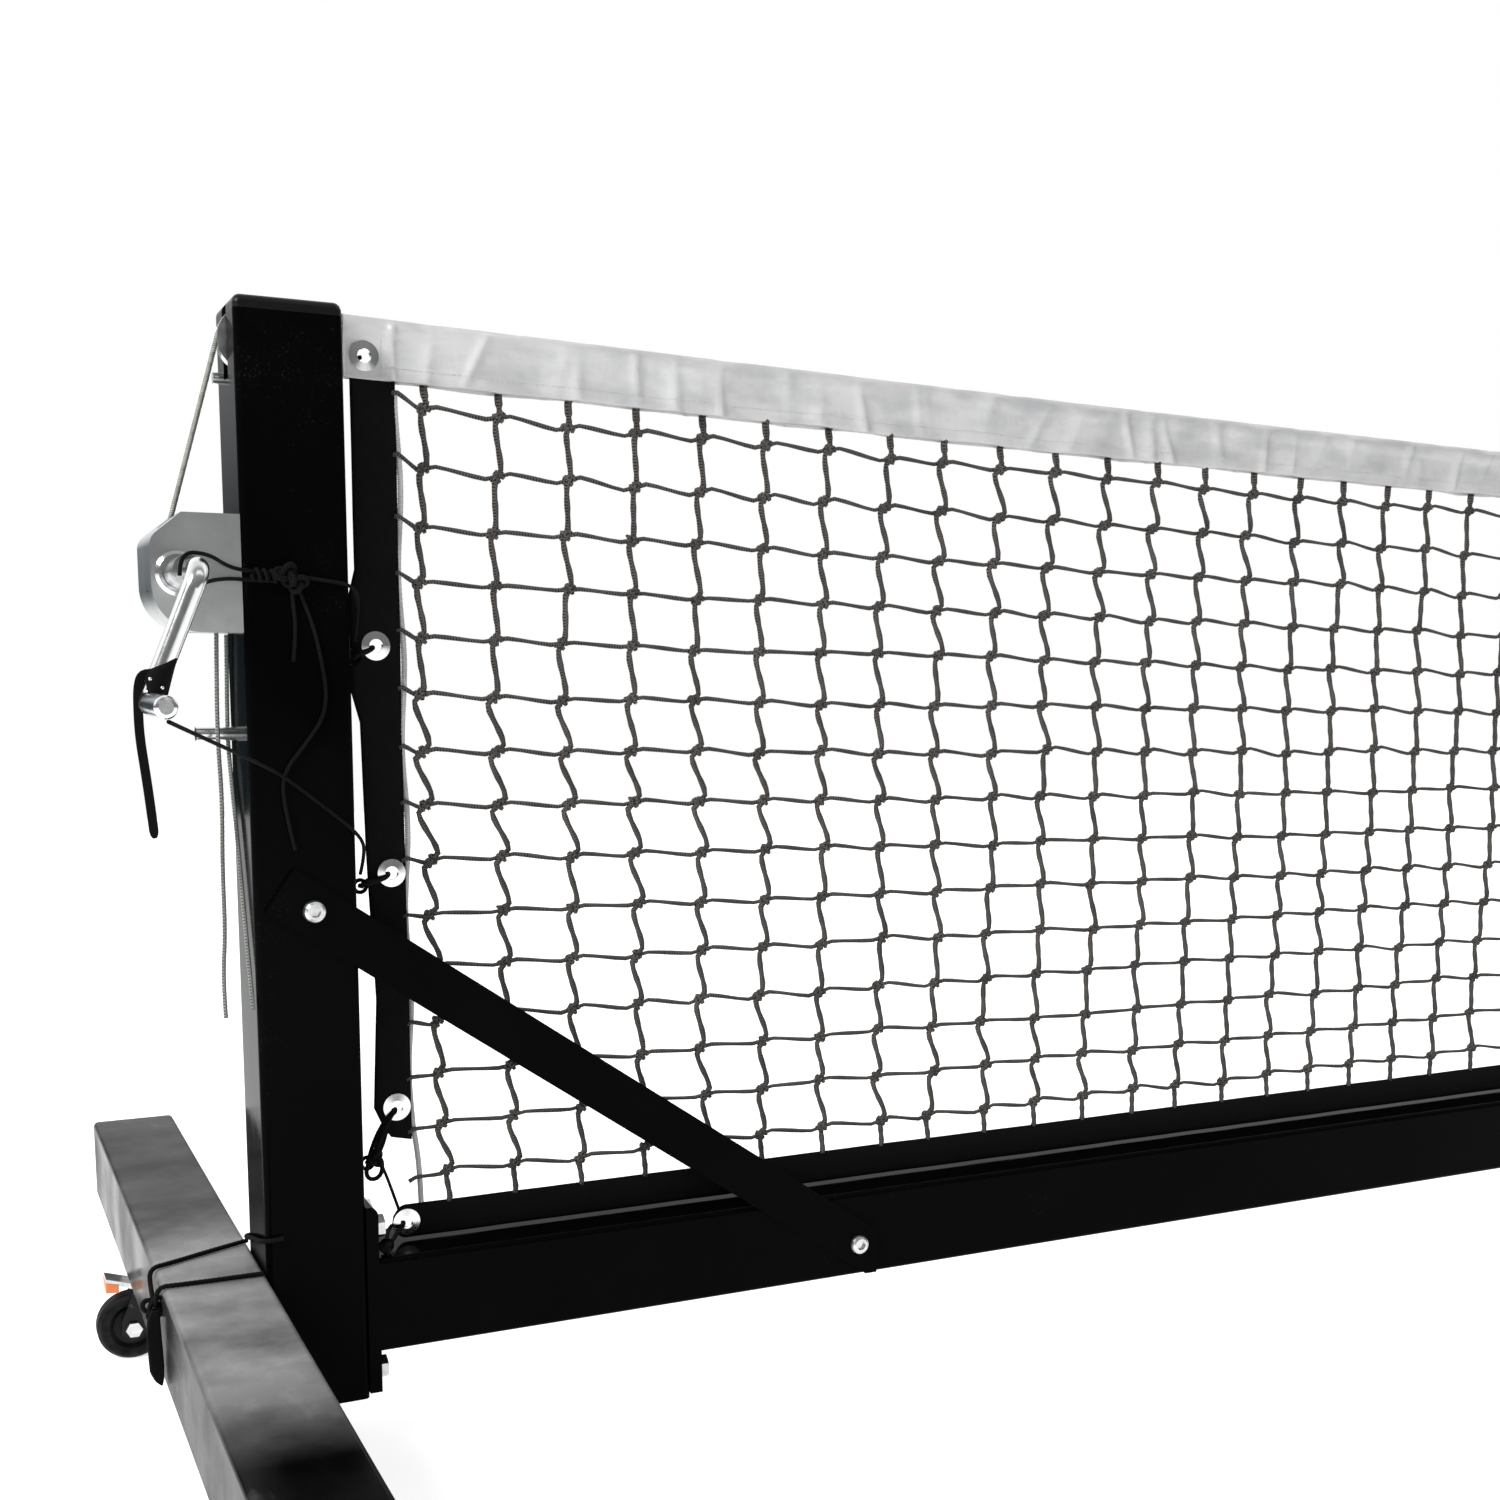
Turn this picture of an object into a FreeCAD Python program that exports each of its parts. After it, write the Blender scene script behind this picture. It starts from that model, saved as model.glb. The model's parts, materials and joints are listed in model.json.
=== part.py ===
import FreeCAD, Part
import math
import os

import Sketcher

# Portable pickleball net on casters, in millimetres.
# X runs along the net, Y across it, +Z up. The origin is on the ground under the middle of the net.
# The left half is modelled; the right half is its mirror image in the plane X = 0.

doc = FreeCAD.newDocument("pickleball_net")

# ---------------------------------------------------------------- driving dimensions
SIZES = {
    # frame
    "half_gap": 3353,          # middle of the net to the inner face of a post
    "tube": 80,                # side of every square tube
    "wall": 3,
    "round": 5,                # outer corner radius of the tubes
    "post_low": 47,
    "post_high": 904,
    "cap": 10,                 # height of the moulded cap on a post
    "foot_low": 85,            # underside of the feet and of the beam
    "foot_long": 1000,
    "end_plate": 3,
    "flange": 10,
    "flange_low": 51,
    "flange_high": 210,
    "splice_long": 400,
    "bolt": 5,                 # shank radius of the frame bolts
    "bolt_hole": 5.5,
    # diagonal brace
    "brace_wide": 40,
    "brace_thick": 5,
    "brace_up_x": 3388.5,
    "brace_up_z": 456,
    "brace_down_x": 2896.5,
    "brace_down_z": 117,
    "brace_end": 31,
    # casters
    "caster_y": 255,
    "trail": 35,
    "wheel": 31.5,             # radius
    "tyre_wide": 20,
    "axle": 4,                 # radius
    # winch
    "shaft_x": 3479,
    "shaft_z": 711.3,
    "shaft": 7,                # radius
    "winch_low": 669,
    "winch_high": 756,
    "winch_deep": 76,
    "winch_out": 65,           # how far the cover stands out from the post
    "rod": 7.4,                # radius of the crank's rod
    "crank_y": 150,
    "grip_x": 3517,
    "grip_z": 619,
    "grip": 7.6,
    "grip_long": 72,
    # top pulley and cable
    "pulley_x": 3416,
    "pulley": 22,              # radius of the cable's centreline on the pulley
    "cable": 2,                # radius
    "cable_depth": 7,          # of the cable below the top of the net
    "core": 8,                 # radius of the drum
    "stud_z": 800,             # height of the stud that holds the cable's end loop
    # net
    "post_net": 914,           # top of the net at a post
    "mid_net": 864,            # top of the net in the middle
    "band": 48,                # height of the headband
    "net_end": 3345,           # half the length of the headband
    "strap_end": 3340,         # from the middle of the net to the outer edge of a side strap
    "side_band": 36,
    "side_band_low": 256,
    "low_band_low": 167,
    "low_band": 29,
    "low_band_end": 3321,      # half the length of the bottom band
    "cloth": 3,                # thickness of the soft solids
}

# The top of the net hangs in a circular arc. The cable's arc meets the pulley tangentially, so the
# pulley's centre lies a pulley radius outside the arc.
sag = SIZES["post_net"] - SIZES["mid_net"]
ARC_R = (SIZES["half_gap"] ** 2 + sag ** 2) / (2 * sag)
ARC_Z = SIZES["mid_net"] + ARC_R
pulley_reach = ARC_R + SIZES["cable_depth"] + SIZES["pulley"]
SIZES["pulley_z"] = round(ARC_Z - math.sqrt(pulley_reach ** 2 - SIZES["pulley_x"] ** 2), 4)

sheet = doc.addObject("Spreadsheet::Sheet", "Dims")
for row, (alias, value) in enumerate(SIZES.items(), start=1):
    sheet.set(f"A{row}", alias)
    sheet.set(f"B{row}", str(value))
    sheet.setAlias(f"B{row}", alias)
doc.recompute()


def dim(alias):
    """A driving dimension, as a number."""
    return float(sheet.get(alias))


# ---------------------------------------------------------------- builders
nodes = []                     # the objects that become sub-parts


def node(obj, label):
    """Makes an object a sub-part with that name."""
    obj.Label = label
    nodes.append(obj)
    return obj


def place(obj, x="0", y="0", z="0"):
    """Binds an object's position to expressions."""
    for axis, text in zip("xyz", (x, y, z)):
        obj.setExpression(f"Placement.Base.{axis}", text)
    return obj


def box(length, width, height, x, y, z):
    """A block from its sizes and its low corner."""
    b = doc.addObject("Part::Box", "block")
    b.setExpression("Length", length)
    b.setExpression("Width", width)
    b.setExpression("Height", height)
    return place(b, x, y, z)


TURN = {
    "X": FreeCAD.Rotation(FreeCAD.Vector(0, 1, 0), 90),
    "Y": FreeCAD.Rotation(FreeCAD.Vector(1, 0, 0), -90),
    "Z": FreeCAD.Rotation(),
}


def rod(axis, radius, length, x, y, z):
    """A cylinder that starts at a point and runs along +axis."""
    c = doc.addObject("Part::Cylinder", "rod")
    c.setExpression("Radius", radius)
    c.setExpression("Height", length)
    c.Placement.Rotation = TURN[axis]
    return place(c, x, y, z)


def hexagon(axis, across, length, x, y, z):
    """A hexagonal prism that starts at a point and runs along +axis."""
    p = doc.addObject("Part::Prism", "hexagon")
    p.Polygon = 6
    p.setExpression("Circumradius", f"({across}) / sqrt(3)")
    p.setExpression("Height", length)
    p.Placement.Rotation = TURN[axis]
    return place(p, x, y, z)


def fuse(*parts):
    f = doc.addObject("Part::MultiFuse", "joined")
    f.Shapes = list(parts)
    f.Refine = True
    return f


def group(*parts):
    """Several separate solids as one object."""
    g = doc.addObject("Part::Compound", "set")
    g.Links = list(parts)
    return g


def cut(base, *tools):
    c = doc.addObject("Part::Cut", "cut")
    c.Base = base
    c.Tool = tools[0] if len(tools) == 1 else fuse(*tools)
    return c


def mirrored(source, *directions):
    """A mirror image in the plane X = 0 and, for "Y", in the plane Y = 0."""
    for direction in directions:
        m = doc.addObject("Part::Mirroring", "mirror")
        m.Source = source
        m.Normal = (1, 0, 0) if direction == "X" else (0, 1, 0)
        m.Base = (0, 0, 0)
        source = m
    return source


def origin_plane(body, role):
    return next(o for o in body.Origin.OriginFeatures if o.Role == role)


def outline(body, role, points):
    """A closed sketch of straight lines whose corners are bound to pairs of expressions."""
    sketch = body.newObject("Sketcher::SketchObject", "outline")
    sketch.AttachmentSupport = [(origin_plane(body, role), "")]
    sketch.MapMode = "FlatFace"
    count = len(points)
    values = [[evaluate(text) for text in pair] for pair in points]
    for i in range(count):
        a = FreeCAD.Vector(*values[i], 0)
        b = FreeCAD.Vector(*values[(i + 1) % count], 0)
        sketch.addGeometry(Part.LineSegment(a, b), False)
    for i in range(count):
        sketch.addConstraint(Sketcher.Constraint("Coincident", i, 2, (i + 1) % count, 1))
    for i, pair in enumerate(points):
        for kind, text, value in zip(("DistanceX", "DistanceY"), pair, values[i]):
            k = sketch.addConstraint(Sketcher.Constraint(kind, -1, 1, i, 1, value))
            sketch.setExpression(f"Constraints[{k}]", text)
    return sketch


def evaluate(text):
    """The value that an expression has now."""
    value = sheet.evalExpression(text.replace("Dims.", ""))
    return float(getattr(value, "Value", value))


def body_at(x="0", y="0", z="0"):
    b = doc.addObject("PartDesign::Body", "body")
    return place(b, x, y, z)


def padded(role, points, length, x="0", y="0", z="0", middle=False):
    """A body made by padding an outline that lies in one of its origin planes."""
    body = body_at(x, y, z)
    pad = body.newObject("PartDesign::Pad", "pad")
    pad.Profile = outline(body, role, points)
    pad.setExpression("Length", length)
    pad.Midplane = middle
    body.Tip = pad
    return body


def rounded(body, radius, wanted):
    """Fillets the edges of a body's tip that wanted(edge) picks."""
    doc.recompute()
    tip = body.Tip
    names = [f"Edge{i}" for i, e in enumerate(tip.Shape.Edges, start=1) if wanted(e)]
    fillet = body.newObject("PartDesign::Fillet", "fillet")
    fillet.Base = (tip, names)
    fillet.setExpression("Radius", radius)
    body.Tip = fillet
    return body


def turned(points, x="0", y="0", z="0"):
    """A body turned about its Y axis, from an outline of (radius, place along Y) pairs."""
    body = body_at(x, y, z)
    spin = body.newObject("PartDesign::Revolution", "spin")
    sketch = outline(body, "XY_Plane", points)
    spin.Profile = sketch
    spin.ReferenceAxis = (sketch, ["V_Axis"])
    spin.Angle = 360
    body.Tip = spin
    return body


def rectangle(low_u, high_u, low_v, high_v):
    return [(low_u, low_v), (high_u, low_v), (high_u, high_v), (low_u, high_v)]


def along(edge, direction):
    """Whether an edge is straight and parallel to a direction."""
    if edge.Curve.TypeId != "Part::GeomLine":
        return False
    return abs(abs(edge.Curve.Direction.dot(FreeCAD.Vector(*direction))) - 1) < 1e-6


PLANE_ACROSS = {"X": "YZ_Plane", "Y": "XZ_Plane", "Z": "XY_Plane"}
UNIT = {"X": (1, 0, 0), "Y": (0, 1, 0), "Z": (0, 0, 1)}


def square_tube(axis, length, x, y, z):
    """A square tube with rounded corners, centred on a point of its axis and starting or centred there."""
    shells = []
    for side, radius in (
        ("Dims.tube / 2", "Dims.round"),
        ("Dims.tube / 2 - Dims.wall", "Dims.round - Dims.wall"),
    ):
        square = rectangle(f"-({side})", side, f"-({side})", side)
        shell = padded(PLANE_ACROSS[axis], square, length, x, y, z, middle=True)
        rounded(shell, radius, lambda e: along(e, UNIT[axis]))
        shells.append(shell)
    return cut(*shells)


# Expressions that several sub-parts share, all for the left side.
POST_X = "-(Dims.half_gap + Dims.tube / 2)"
FOOT_X = "-(Dims.half_gap + Dims.tube * 3 / 2)"
POST_IN = "-Dims.half_gap"
POST_OUT = "-(Dims.half_gap + Dims.tube)"
FRONT = "-Dims.tube / 2"
BACK = "Dims.tube / 2"
FRAME_Z = "(Dims.foot_low + Dims.tube / 2)"
SHAFT_X = "-Dims.shaft_x"
SHAFT_Z = "Dims.shaft_z"


# ---------------------------------------------------------------- frame bolts
def bolt_along_y(x, z):
    """A domed socket-head bolt through a brace and its tube, with its nut at the back."""
    face = f"{FRONT} - Dims.brace_thick"
    dome = turned([
        ("0", face), ("8.8", face), ("8.8", f"{face} - 3"), ("8", f"{face} - 4.8"),
        ("6.2", f"{face} - 6"), ("0", f"{face} - 6"),
    ], x, "0", z)
    head = cut(dome, hexagon("Y", "8", "4", x, f"{face} - 7", z))
    shank = rod("Y", "Dims.bolt", "Dims.tube + Dims.brace_thick + 14", x,
                f"{FRONT} - Dims.brace_thick", z)
    nut = hexagon("Y", "17", "8", x, BACK, z)
    return fuse(head, shank, nut)


def short_bolt_along_y(x, z):
    """The same bolt with its head on the tube itself."""
    head = hexagon("Y", "17", "7", x, f"{FRONT} - 7", z)
    shank = rod("Y", "Dims.bolt", "Dims.tube + 14", x, FRONT, z)
    nut = hexagon("Y", "17", "8", x, BACK, z)
    return fuse(head, shank, nut)


def bolt_along_x(y, z):
    """A bolt through the beam's flange into a nut inside the post's inner wall."""
    nut_face = f"{POST_IN} - Dims.wall"
    head = hexagon("X", "17", "8", f"{POST_IN} + Dims.flange", y, z)
    shank = rod("X", "Dims.bolt", "Dims.wall + Dims.flange + 17", f"{nut_face} - 12", y, z)
    nut = hexagon("X", "17", "8", f"{nut_face} - 8", y, z)
    return fuse(head, shank, nut)


def hole_along_y(x, z):
    return rod("Y", "Dims.bolt_hole", "Dims.tube * 2", x, "-Dims.tube", z)


def hole_along_x(y, z):
    """A hole through the beam's flange and a post's inner wall only."""
    return rod("X", "Dims.bolt_hole", "Dims.tube", f"{POST_IN} - Dims.tube / 2", y, z)


# The eye hooks that hold the net's edge: four on a post's inner face, and one on top of the beam.
EYES = [("14", "876"), ("-14", "652"), ("-14", "470"), ("-14", "240")]
BEAM_EYE = (f"{POST_IN} + 18", "-31")


WINCH_SCREWS = [
    (y, z)
    for y in ("-29", "29")
    for z in ("Dims.winch_low + 9", "Dims.winch_high - 9")
]
FLANGE_BOLTS = [
    (y, z)
    for y in ("-22", "22")
    for z in ("Dims.flange_low + 15", "Dims.flange_high - 22")
]
SPLICE_X = ["-60", "-150"]
BRACE_UP = ("-Dims.brace_up_x", "Dims.brace_up_z")
BRACE_DOWN = ("-Dims.brace_down_x", "Dims.brace_down_z")

left_bolts = [bolt_along_x(y, z) for y, z in FLANGE_BOLTS]
left_bolts += [short_bolt_along_y(x, FRAME_Z) for x in SPLICE_X]
node(group(*left_bolts, *[mirrored(b, "X") for b in left_bolts]), "frame_bolts")

left_brace_bolts = [bolt_along_y(*BRACE_UP), bolt_along_y(*BRACE_DOWN)]
node(group(*left_brace_bolts, *[mirrored(b, "X") for b in left_brace_bolts]), "brace_bolts")


# ---------------------------------------------------------------- posts and their caps
def post():
    """A post with its bolt holes, the cable's slot and the holes of the eye hooks."""
    height = "Dims.post_high - Dims.post_low"
    tube = square_tube("Z", height, POST_X, "0", "(Dims.post_high + Dims.post_low) / 2")
    holes = [hole_along_x(y, z) for y, z in FLANGE_BOLTS]
    holes.append(hole_along_y(*BRACE_UP))
    slot = box("Dims.tube / 2", "18", "46", f"{POST_OUT} - Dims.tube / 4", "-9", "Dims.post_high - 46")
    eyes = [rod("X", "1.6", "Dims.wall * 2", f"{POST_IN} - Dims.wall * 1.5", y, z) for y, z in EYES]
    return cut(tube, *holes, slot, *eyes)


def screw_holes():
    return [rod("X", "3", "Dims.wall * 2", f"{POST_OUT} - Dims.wall / 2", y, z) for y, z in WINCH_SCREWS]


plain_post = post()
node(cut(plain_post, *screw_holes()), "left_post")
node(mirrored(plain_post, "X"), "right_post")


def chamfered_square(side):
    """Corners of a square whose corners are cut off to clear the round inside a tube."""
    near = f"({side}) - 1.5"
    corners = []
    for u, v in ((1, 1), (-1, 1), (-1, -1), (1, -1)):
        pair = [(f"{u} * ({side})", f"{v} * ({near})"), (f"{u} * ({near})", f"{v} * ({side})")]
        corners += pair if u == v else pair[::-1]
    return corners


PLUG = "(Dims.tube / 2 - Dims.wall - 0.2)"     # half the width of what slides into a tube


def post_cap():
    """A moulded cap with rounded edges, a channel for the cable and two skirts inside the post."""
    side = "Dims.tube / 2"
    square = rectangle(f"-({side})", side, f"-({side})", side)
    top = padded("XY_Plane", square, "Dims.cap", POST_X, "0", "Dims.post_high")
    rounded(top, "Dims.round", lambda e: along(e, UNIT["Z"]))
    rounded(top, "Dims.cap * 0.6", lambda e: e.CenterOfMass.z > dim("cap") - 0.001)
    plug = padded("XY_Plane", chamfered_square(PLUG), "12", POST_X, "0", "Dims.post_high - 12")
    gap = box("Dims.tube", "24", "12", POST_OUT, "-12", "Dims.post_high - 12")
    channel = box("Dims.tube + 2", "18", "7.5", f"{POST_OUT} - 1", "-9", "Dims.post_high")
    return cut(fuse(top, cut(plug, gap)), channel)


left_cap = post_cap()
node(group(left_cap, mirrored(left_cap, "X")), "post_caps")


# ---------------------------------------------------------------- feet
CASTER_SCREWS = [(x, y) for x in (-26, 26) for y in (-20, 20)]


def foot():
    """A foot tube across the net, welded to the outer face of its post."""
    tube = square_tube("Y", "Dims.foot_long", FOOT_X, "0", FRAME_Z)
    holes = []
    for x, y in CASTER_SCREWS:
        for side in ("Dims.caster_y", "-Dims.caster_y"):
            holes.append(rod("Z", "4", "Dims.wall * 2", f"{FOOT_X} + {x}", f"{side} + {y}",
                             "Dims.foot_low - Dims.wall / 2"))
    return cut(tube, *holes)


left_foot = node(foot(), "left_foot")
node(mirrored(left_foot, "X"), "right_foot")


def foot_cap(end):
    """A moulded plug with a plate that covers the end of a foot; end is 1 at the back, -1 at the front."""
    side = "Dims.tube / 2"
    square = rectangle(f"-({side})", side, f"-({side})", side)
    plate_y = f"{end} * (Dims.foot_long / 2 + Dims.end_plate / 2)"
    plate = padded("XZ_Plane", square, "Dims.end_plate", FOOT_X, plate_y, FRAME_Z, middle=True)
    rounded(plate, "Dims.round", lambda e: along(e, (0, 1, 0)))
    plug_y = f"{end} * (Dims.foot_long / 2 - 10)"
    plug = padded("XZ_Plane", chamfered_square(PLUG), "20", FOOT_X, plug_y, FRAME_Z, middle=True)
    return fuse(plate, plug)


left_foot_caps = [foot_cap(1), foot_cap(-1)]
node(group(*left_foot_caps, *[mirrored(c, "X") for c in left_foot_caps]), "foot_end_caps")


# ---------------------------------------------------------------- beam, splice and flanges
BEAM_LONG = "(Dims.half_gap - Dims.flange)"


def beam():
    """Half of the ground beam, from its flange to the middle of the net."""
    tube = square_tube("X", BEAM_LONG, f"-{BEAM_LONG} / 2", "0", FRAME_Z)
    holes = [hole_along_y(x, FRAME_Z) for x in SPLICE_X]
    holes.append(hole_along_y(*BRACE_DOWN))
    holes.append(rod("Z", "1.6", "Dims.wall * 2", *BEAM_EYE, "Dims.foot_low + Dims.tube - Dims.wall * 1.5"))
    return cut(tube, *holes)


left_beam = node(beam(), "left_beam")
node(mirrored(left_beam, "X"), "right_beam")


def splice():
    """The square sleeve inside the beam where its halves meet."""
    sleeve = [
        padded("YZ_Plane", chamfered_square(reach), "Dims.splice_long", "0", "0", FRAME_Z, middle=True)
        for reach in (PLUG, f"{PLUG} - Dims.wall")
    ]
    left_holes = [hole_along_y(x, FRAME_Z) for x in SPLICE_X]
    return cut(cut(*sleeve), *left_holes, *[mirrored(tool, "X") for tool in left_holes])


node(splice(), "beam_splice")


def flange():
    """The plate on the end of the beam, with a bent top corner, bolted to the post above and below."""
    side = "Dims.tube / 2"
    plate = padded("YZ_Plane", rectangle(f"-({side})", side, "Dims.flange_low", "Dims.flange_high"),
                   "Dims.flange", POST_IN)
    rounded(plate, "Dims.flange * 0.8", lambda e: along(e, UNIT["Y"])
            and e.CenterOfMass.z > dim("flange_high") - 1 and e.CenterOfMass.x > 1)
    return cut(plate, *[hole_along_x(y, z) for y, z in FLANGE_BOLTS])


left_flange = flange()
node(group(left_flange, mirrored(left_flange, "X")), "beam_flanges")


# ---------------------------------------------------------------- diagonal braces
def brace():
    """A flat bar from the post down to the beam, cut square at the top and upright at the bottom."""
    run = dim("brace_up_x") - dim("brace_down_x")
    drop = dim("brace_up_z") - dim("brace_down_z")
    across, down = run / math.hypot(run, drop), drop / math.hypot(run, drop)
    half = "Dims.brace_wide / 2"
    end_x = f"-Dims.brace_up_x - {across} * Dims.brace_end"
    end_z = f"Dims.brace_up_z + {down} * Dims.brace_end"
    floor_z = "Dims.foot_low + 2"
    rise = f"(Dims.brace_down_z - {half} / {across} - ({floor_z}))"
    points = [
        (f"{end_x} - {down} * {half}", f"{end_z} - {across} * {half}"),
        (f"-Dims.brace_down_x + {rise} * {across / down}", floor_z),
        ("-Dims.brace_down_x + 20", floor_z),
        ("-Dims.brace_down_x + 20", f"Dims.brace_down_z + ({half} - 20 * {down}) / {across}"),
        (f"{end_x} + {down} * {half}", f"{end_z} + {across} * {half}"),
    ]
    bar = padded("XZ_Plane", points, "Dims.brace_thick", "0", FRONT)
    return cut(bar, hole_along_y(*BRACE_UP), hole_along_y(*BRACE_DOWN))


left_brace = node(brace(), "left_brace")
node(mirrored(left_brace, "X"), "right_brace")


# ---------------------------------------------------------------- casters
# One caster is modelled under the left foot's back end and mirrored to the other three corners.
CASTER_Y = "Dims.caster_y"
PLATE_LOW = "Dims.foot_low - 3"
CUP_LOW = "Dims.foot_low - 11"
FORK_TOP = "Dims.foot_low - 11.3"
WHEEL_X = f"{FOOT_X} - Dims.trail"


def caster_plate():
    """The mounting plate with its ball cup, king pin and rivet head."""
    plate = box("70", "56", "3", f"{FOOT_X} - 35", f"{CASTER_Y} - 28", PLATE_LOW)
    cup = rod("Z", "21", "8", FOOT_X, CASTER_Y, CUP_LOW)
    pin = rod("Z", "5", "12", FOOT_X, CASTER_Y, "Dims.foot_low - 17")
    rivet = rod("Z", "7", "2", FOOT_X, CASTER_Y, "Dims.foot_low - 18.5")
    holes = []
    for x, y in CASTER_SCREWS:
        holes.append(rod("Z", "4", "6", f"{FOOT_X} + {x}", f"{CASTER_Y} + {y}", "Dims.foot_low - 4"))
    return cut(fuse(plate, cup, pin, rivet), *holes)


def caster_screw(x, y):
    """A screw up through the plate into the foot."""
    place_x, place_y = f"{FOOT_X} + {x}", f"{CASTER_Y} + {y}"
    head = hexagon("Z", "13", "5", place_x, place_y, "Dims.foot_low - 8")
    return fuse(head, rod("Z", "4", "14", place_x, place_y, PLATE_LOW))


def fork():
    """The swivelling fork: a round top plate and two legs that reach out to the axle."""
    top = rod("Z", "22", "3.5", FOOT_X, CASTER_Y, "Dims.foot_low - 14.8")
    leg_outline = [
        ("18", f"{FORK_TOP}"), ("-30", f"{FORK_TOP}"), ("-45", "40"), ("-46", "27"),
        ("-38", "20"), ("-29", "22"), ("14", "Dims.foot_low - 22"),
    ]
    legs = []
    for low_y in ("12.5 + 3", "-12.5"):
        legs.append(padded("XZ_Plane", leg_outline, "3", FOOT_X, f"{CASTER_Y} + {low_y}"))
    bore = rod("Z", "5.06", "10", FOOT_X, CASTER_Y, "Dims.foot_low - 20")
    axle_hole = rod("Y", "Dims.axle", "40", WHEEL_X, f"{CASTER_Y} - 20", "Dims.wheel")
    pedal_hole = rod("Y", "2.06", "40", f"{FOOT_X} - 26", f"{CASTER_Y} - 20", "Dims.foot_low - 16.5")
    return cut(fuse(top, *legs), bore, axle_hole, pedal_hole)


def axle():
    """The wheel's bolt, with a hexagon head outside one leg and a nut outside the other."""
    pin = rod("Y", "Dims.axle", "38", WHEEL_X, f"{CASTER_Y} - 19.5", "Dims.wheel")
    head = hexagon("Y", "13", "4.5", WHEEL_X, f"{CASTER_Y} - 20", "Dims.wheel")
    nut = hexagon("Y", "13", "4", WHEEL_X, f"{CASTER_Y} + 15.5", "Dims.wheel")
    return fuse(pin, head, nut)


def hub():
    """The wheel's moulded centre, dished on both faces."""
    bore = "Dims.axle + 0.05"
    outline_points = [
        (bore, "-12"), ("9", "-12"), ("9", "-8"), ("17", "-7"), ("21", "-9"),
        ("21", "9"), ("17", "7"), ("9", "8"), ("9", "12"), (bore, "12"),
    ]
    return turned(outline_points, WHEEL_X, CASTER_Y, "Dims.wheel")


def tyre():
    """The tread ring with rounded shoulders."""
    half = "Dims.tyre_wide / 2"
    outline_points = [
        ("21", f"-({half} - 1)"), ("26", f"-({half})"), ("Dims.wheel - 3", f"-({half})"),
        ("Dims.wheel", f"-({half} - 4)"), ("Dims.wheel", f"{half} - 4"),
        ("Dims.wheel - 3", half), ("26", half), ("21", f"{half} - 1"),
    ]
    return turned(outline_points, WHEEL_X, CASTER_Y, "Dims.wheel")


def pedal():
    """The brake lever, with its pivot pin through both legs."""
    side = [
        ("-24", "Dims.foot_low - 14.5"), ("-29", "Dims.foot_low - 18.5"), ("-46", "Dims.foot_low - 12"),
        ("-57", "Dims.foot_low - 9.5"), ("-57", "Dims.foot_low - 4"), ("-46", "Dims.foot_low - 7.5"),
    ]
    lever = padded("XZ_Plane", side, "22", FOOT_X, CASTER_Y, middle=True)
    pin = rod("Y", "2", "33", f"{FOOT_X} - 26", f"{CASTER_Y} - 16.5", "Dims.foot_low - 16.5")
    return fuse(lever, pin)


def pedal_pad(lever):
    """The coloured pad clipped under the end of the brake lever."""
    side = [
        ("-46", "Dims.foot_low - 18"), ("-57.5", "Dims.foot_low - 17"), ("-57.5", "Dims.foot_low - 8"),
        ("-46", "Dims.foot_low - 10.5"),
    ]
    return cut(padded("XZ_Plane", side, "24", FOOT_X, CASTER_Y, middle=True), lever)


CORNERS = {"left_rear": (), "left_front": ("Y",), "right_rear": ("X",), "right_front": ("X", "Y")}
BRAKED = ("left_rear", "right_rear")


def at_corners(source):
    return [mirrored(source, *turns) for turns in CORNERS.values()]


node(group(*at_corners(caster_plate())), "caster_plates")
screws = [caster_screw(x, y) for x, y in CASTER_SCREWS]
node(group(*[c for s in screws for c in at_corners(s)]), "caster_screws")



def at_corner(source, corner, piece_name):
    """One corner's copy of a caster's piece, as a sub-part."""
    turns = CORNERS[corner]
    node(mirrored(source, *turns) if turns else source, f"{corner}_{piece_name}")


for piece_name, source in (("fork", fork()), ("axle", axle()), ("hub", hub()), ("tyre", tyre())):
    for corner in CORNERS:
        at_corner(source, corner, piece_name)

brake_lever = pedal()
brake_pad = pedal_pad(brake_lever)
for corner in BRAKED:
    at_corner(brake_lever, corner, "pedal")
    at_corner(brake_pad, corner, "pedal_pad")


# ---------------------------------------------------------------- top pulley
def pulley():
    """The grooved wheel that turns the cable down to the winch."""
    groove, rim = "Dims.pulley - Dims.cable - 0.1", "Dims.pulley + 1.5"
    outline_points = [
        ("4.05", "-6"), (rim, "-6"), (rim, "-4.6"), (groove, "-2.2"),
        (groove, "2.2"), (rim, "4.6"), (rim, "6"), ("4.05", "6"),
    ]
    return turned(outline_points, "-Dims.pulley_x", "0", "Dims.pulley_z")


node(pulley(), "cable_pulley")
inner_gap = "Dims.tube - Dims.wall * 2"
node(rod("Y", "4", inner_gap, "-Dims.pulley_x", f"-({inner_gap}) / 2", "Dims.pulley_z"), "pulley_axle")


# ---------------------------------------------------------------- winch
def winch_base():
    """The plate that carries the winch on the outer face of the left post."""
    height = "Dims.winch_high - Dims.winch_low"
    plate = box("Dims.wall", "Dims.winch_deep", height, f"{POST_OUT} - Dims.wall",
                "-Dims.winch_deep / 2", "Dims.winch_low")
    return cut(plate, *[rod("X", "3", "12", f"{POST_OUT} - 8", y, z) for y, z in WINCH_SCREWS])


def winch_screw(y, z):
    head = rod("X", "5", "3.5", f"{POST_OUT} - Dims.wall - 3.5", y, z)
    return fuse(head, rod("X", "3", "10", f"{POST_OUT} - Dims.wall", y, z))


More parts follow.
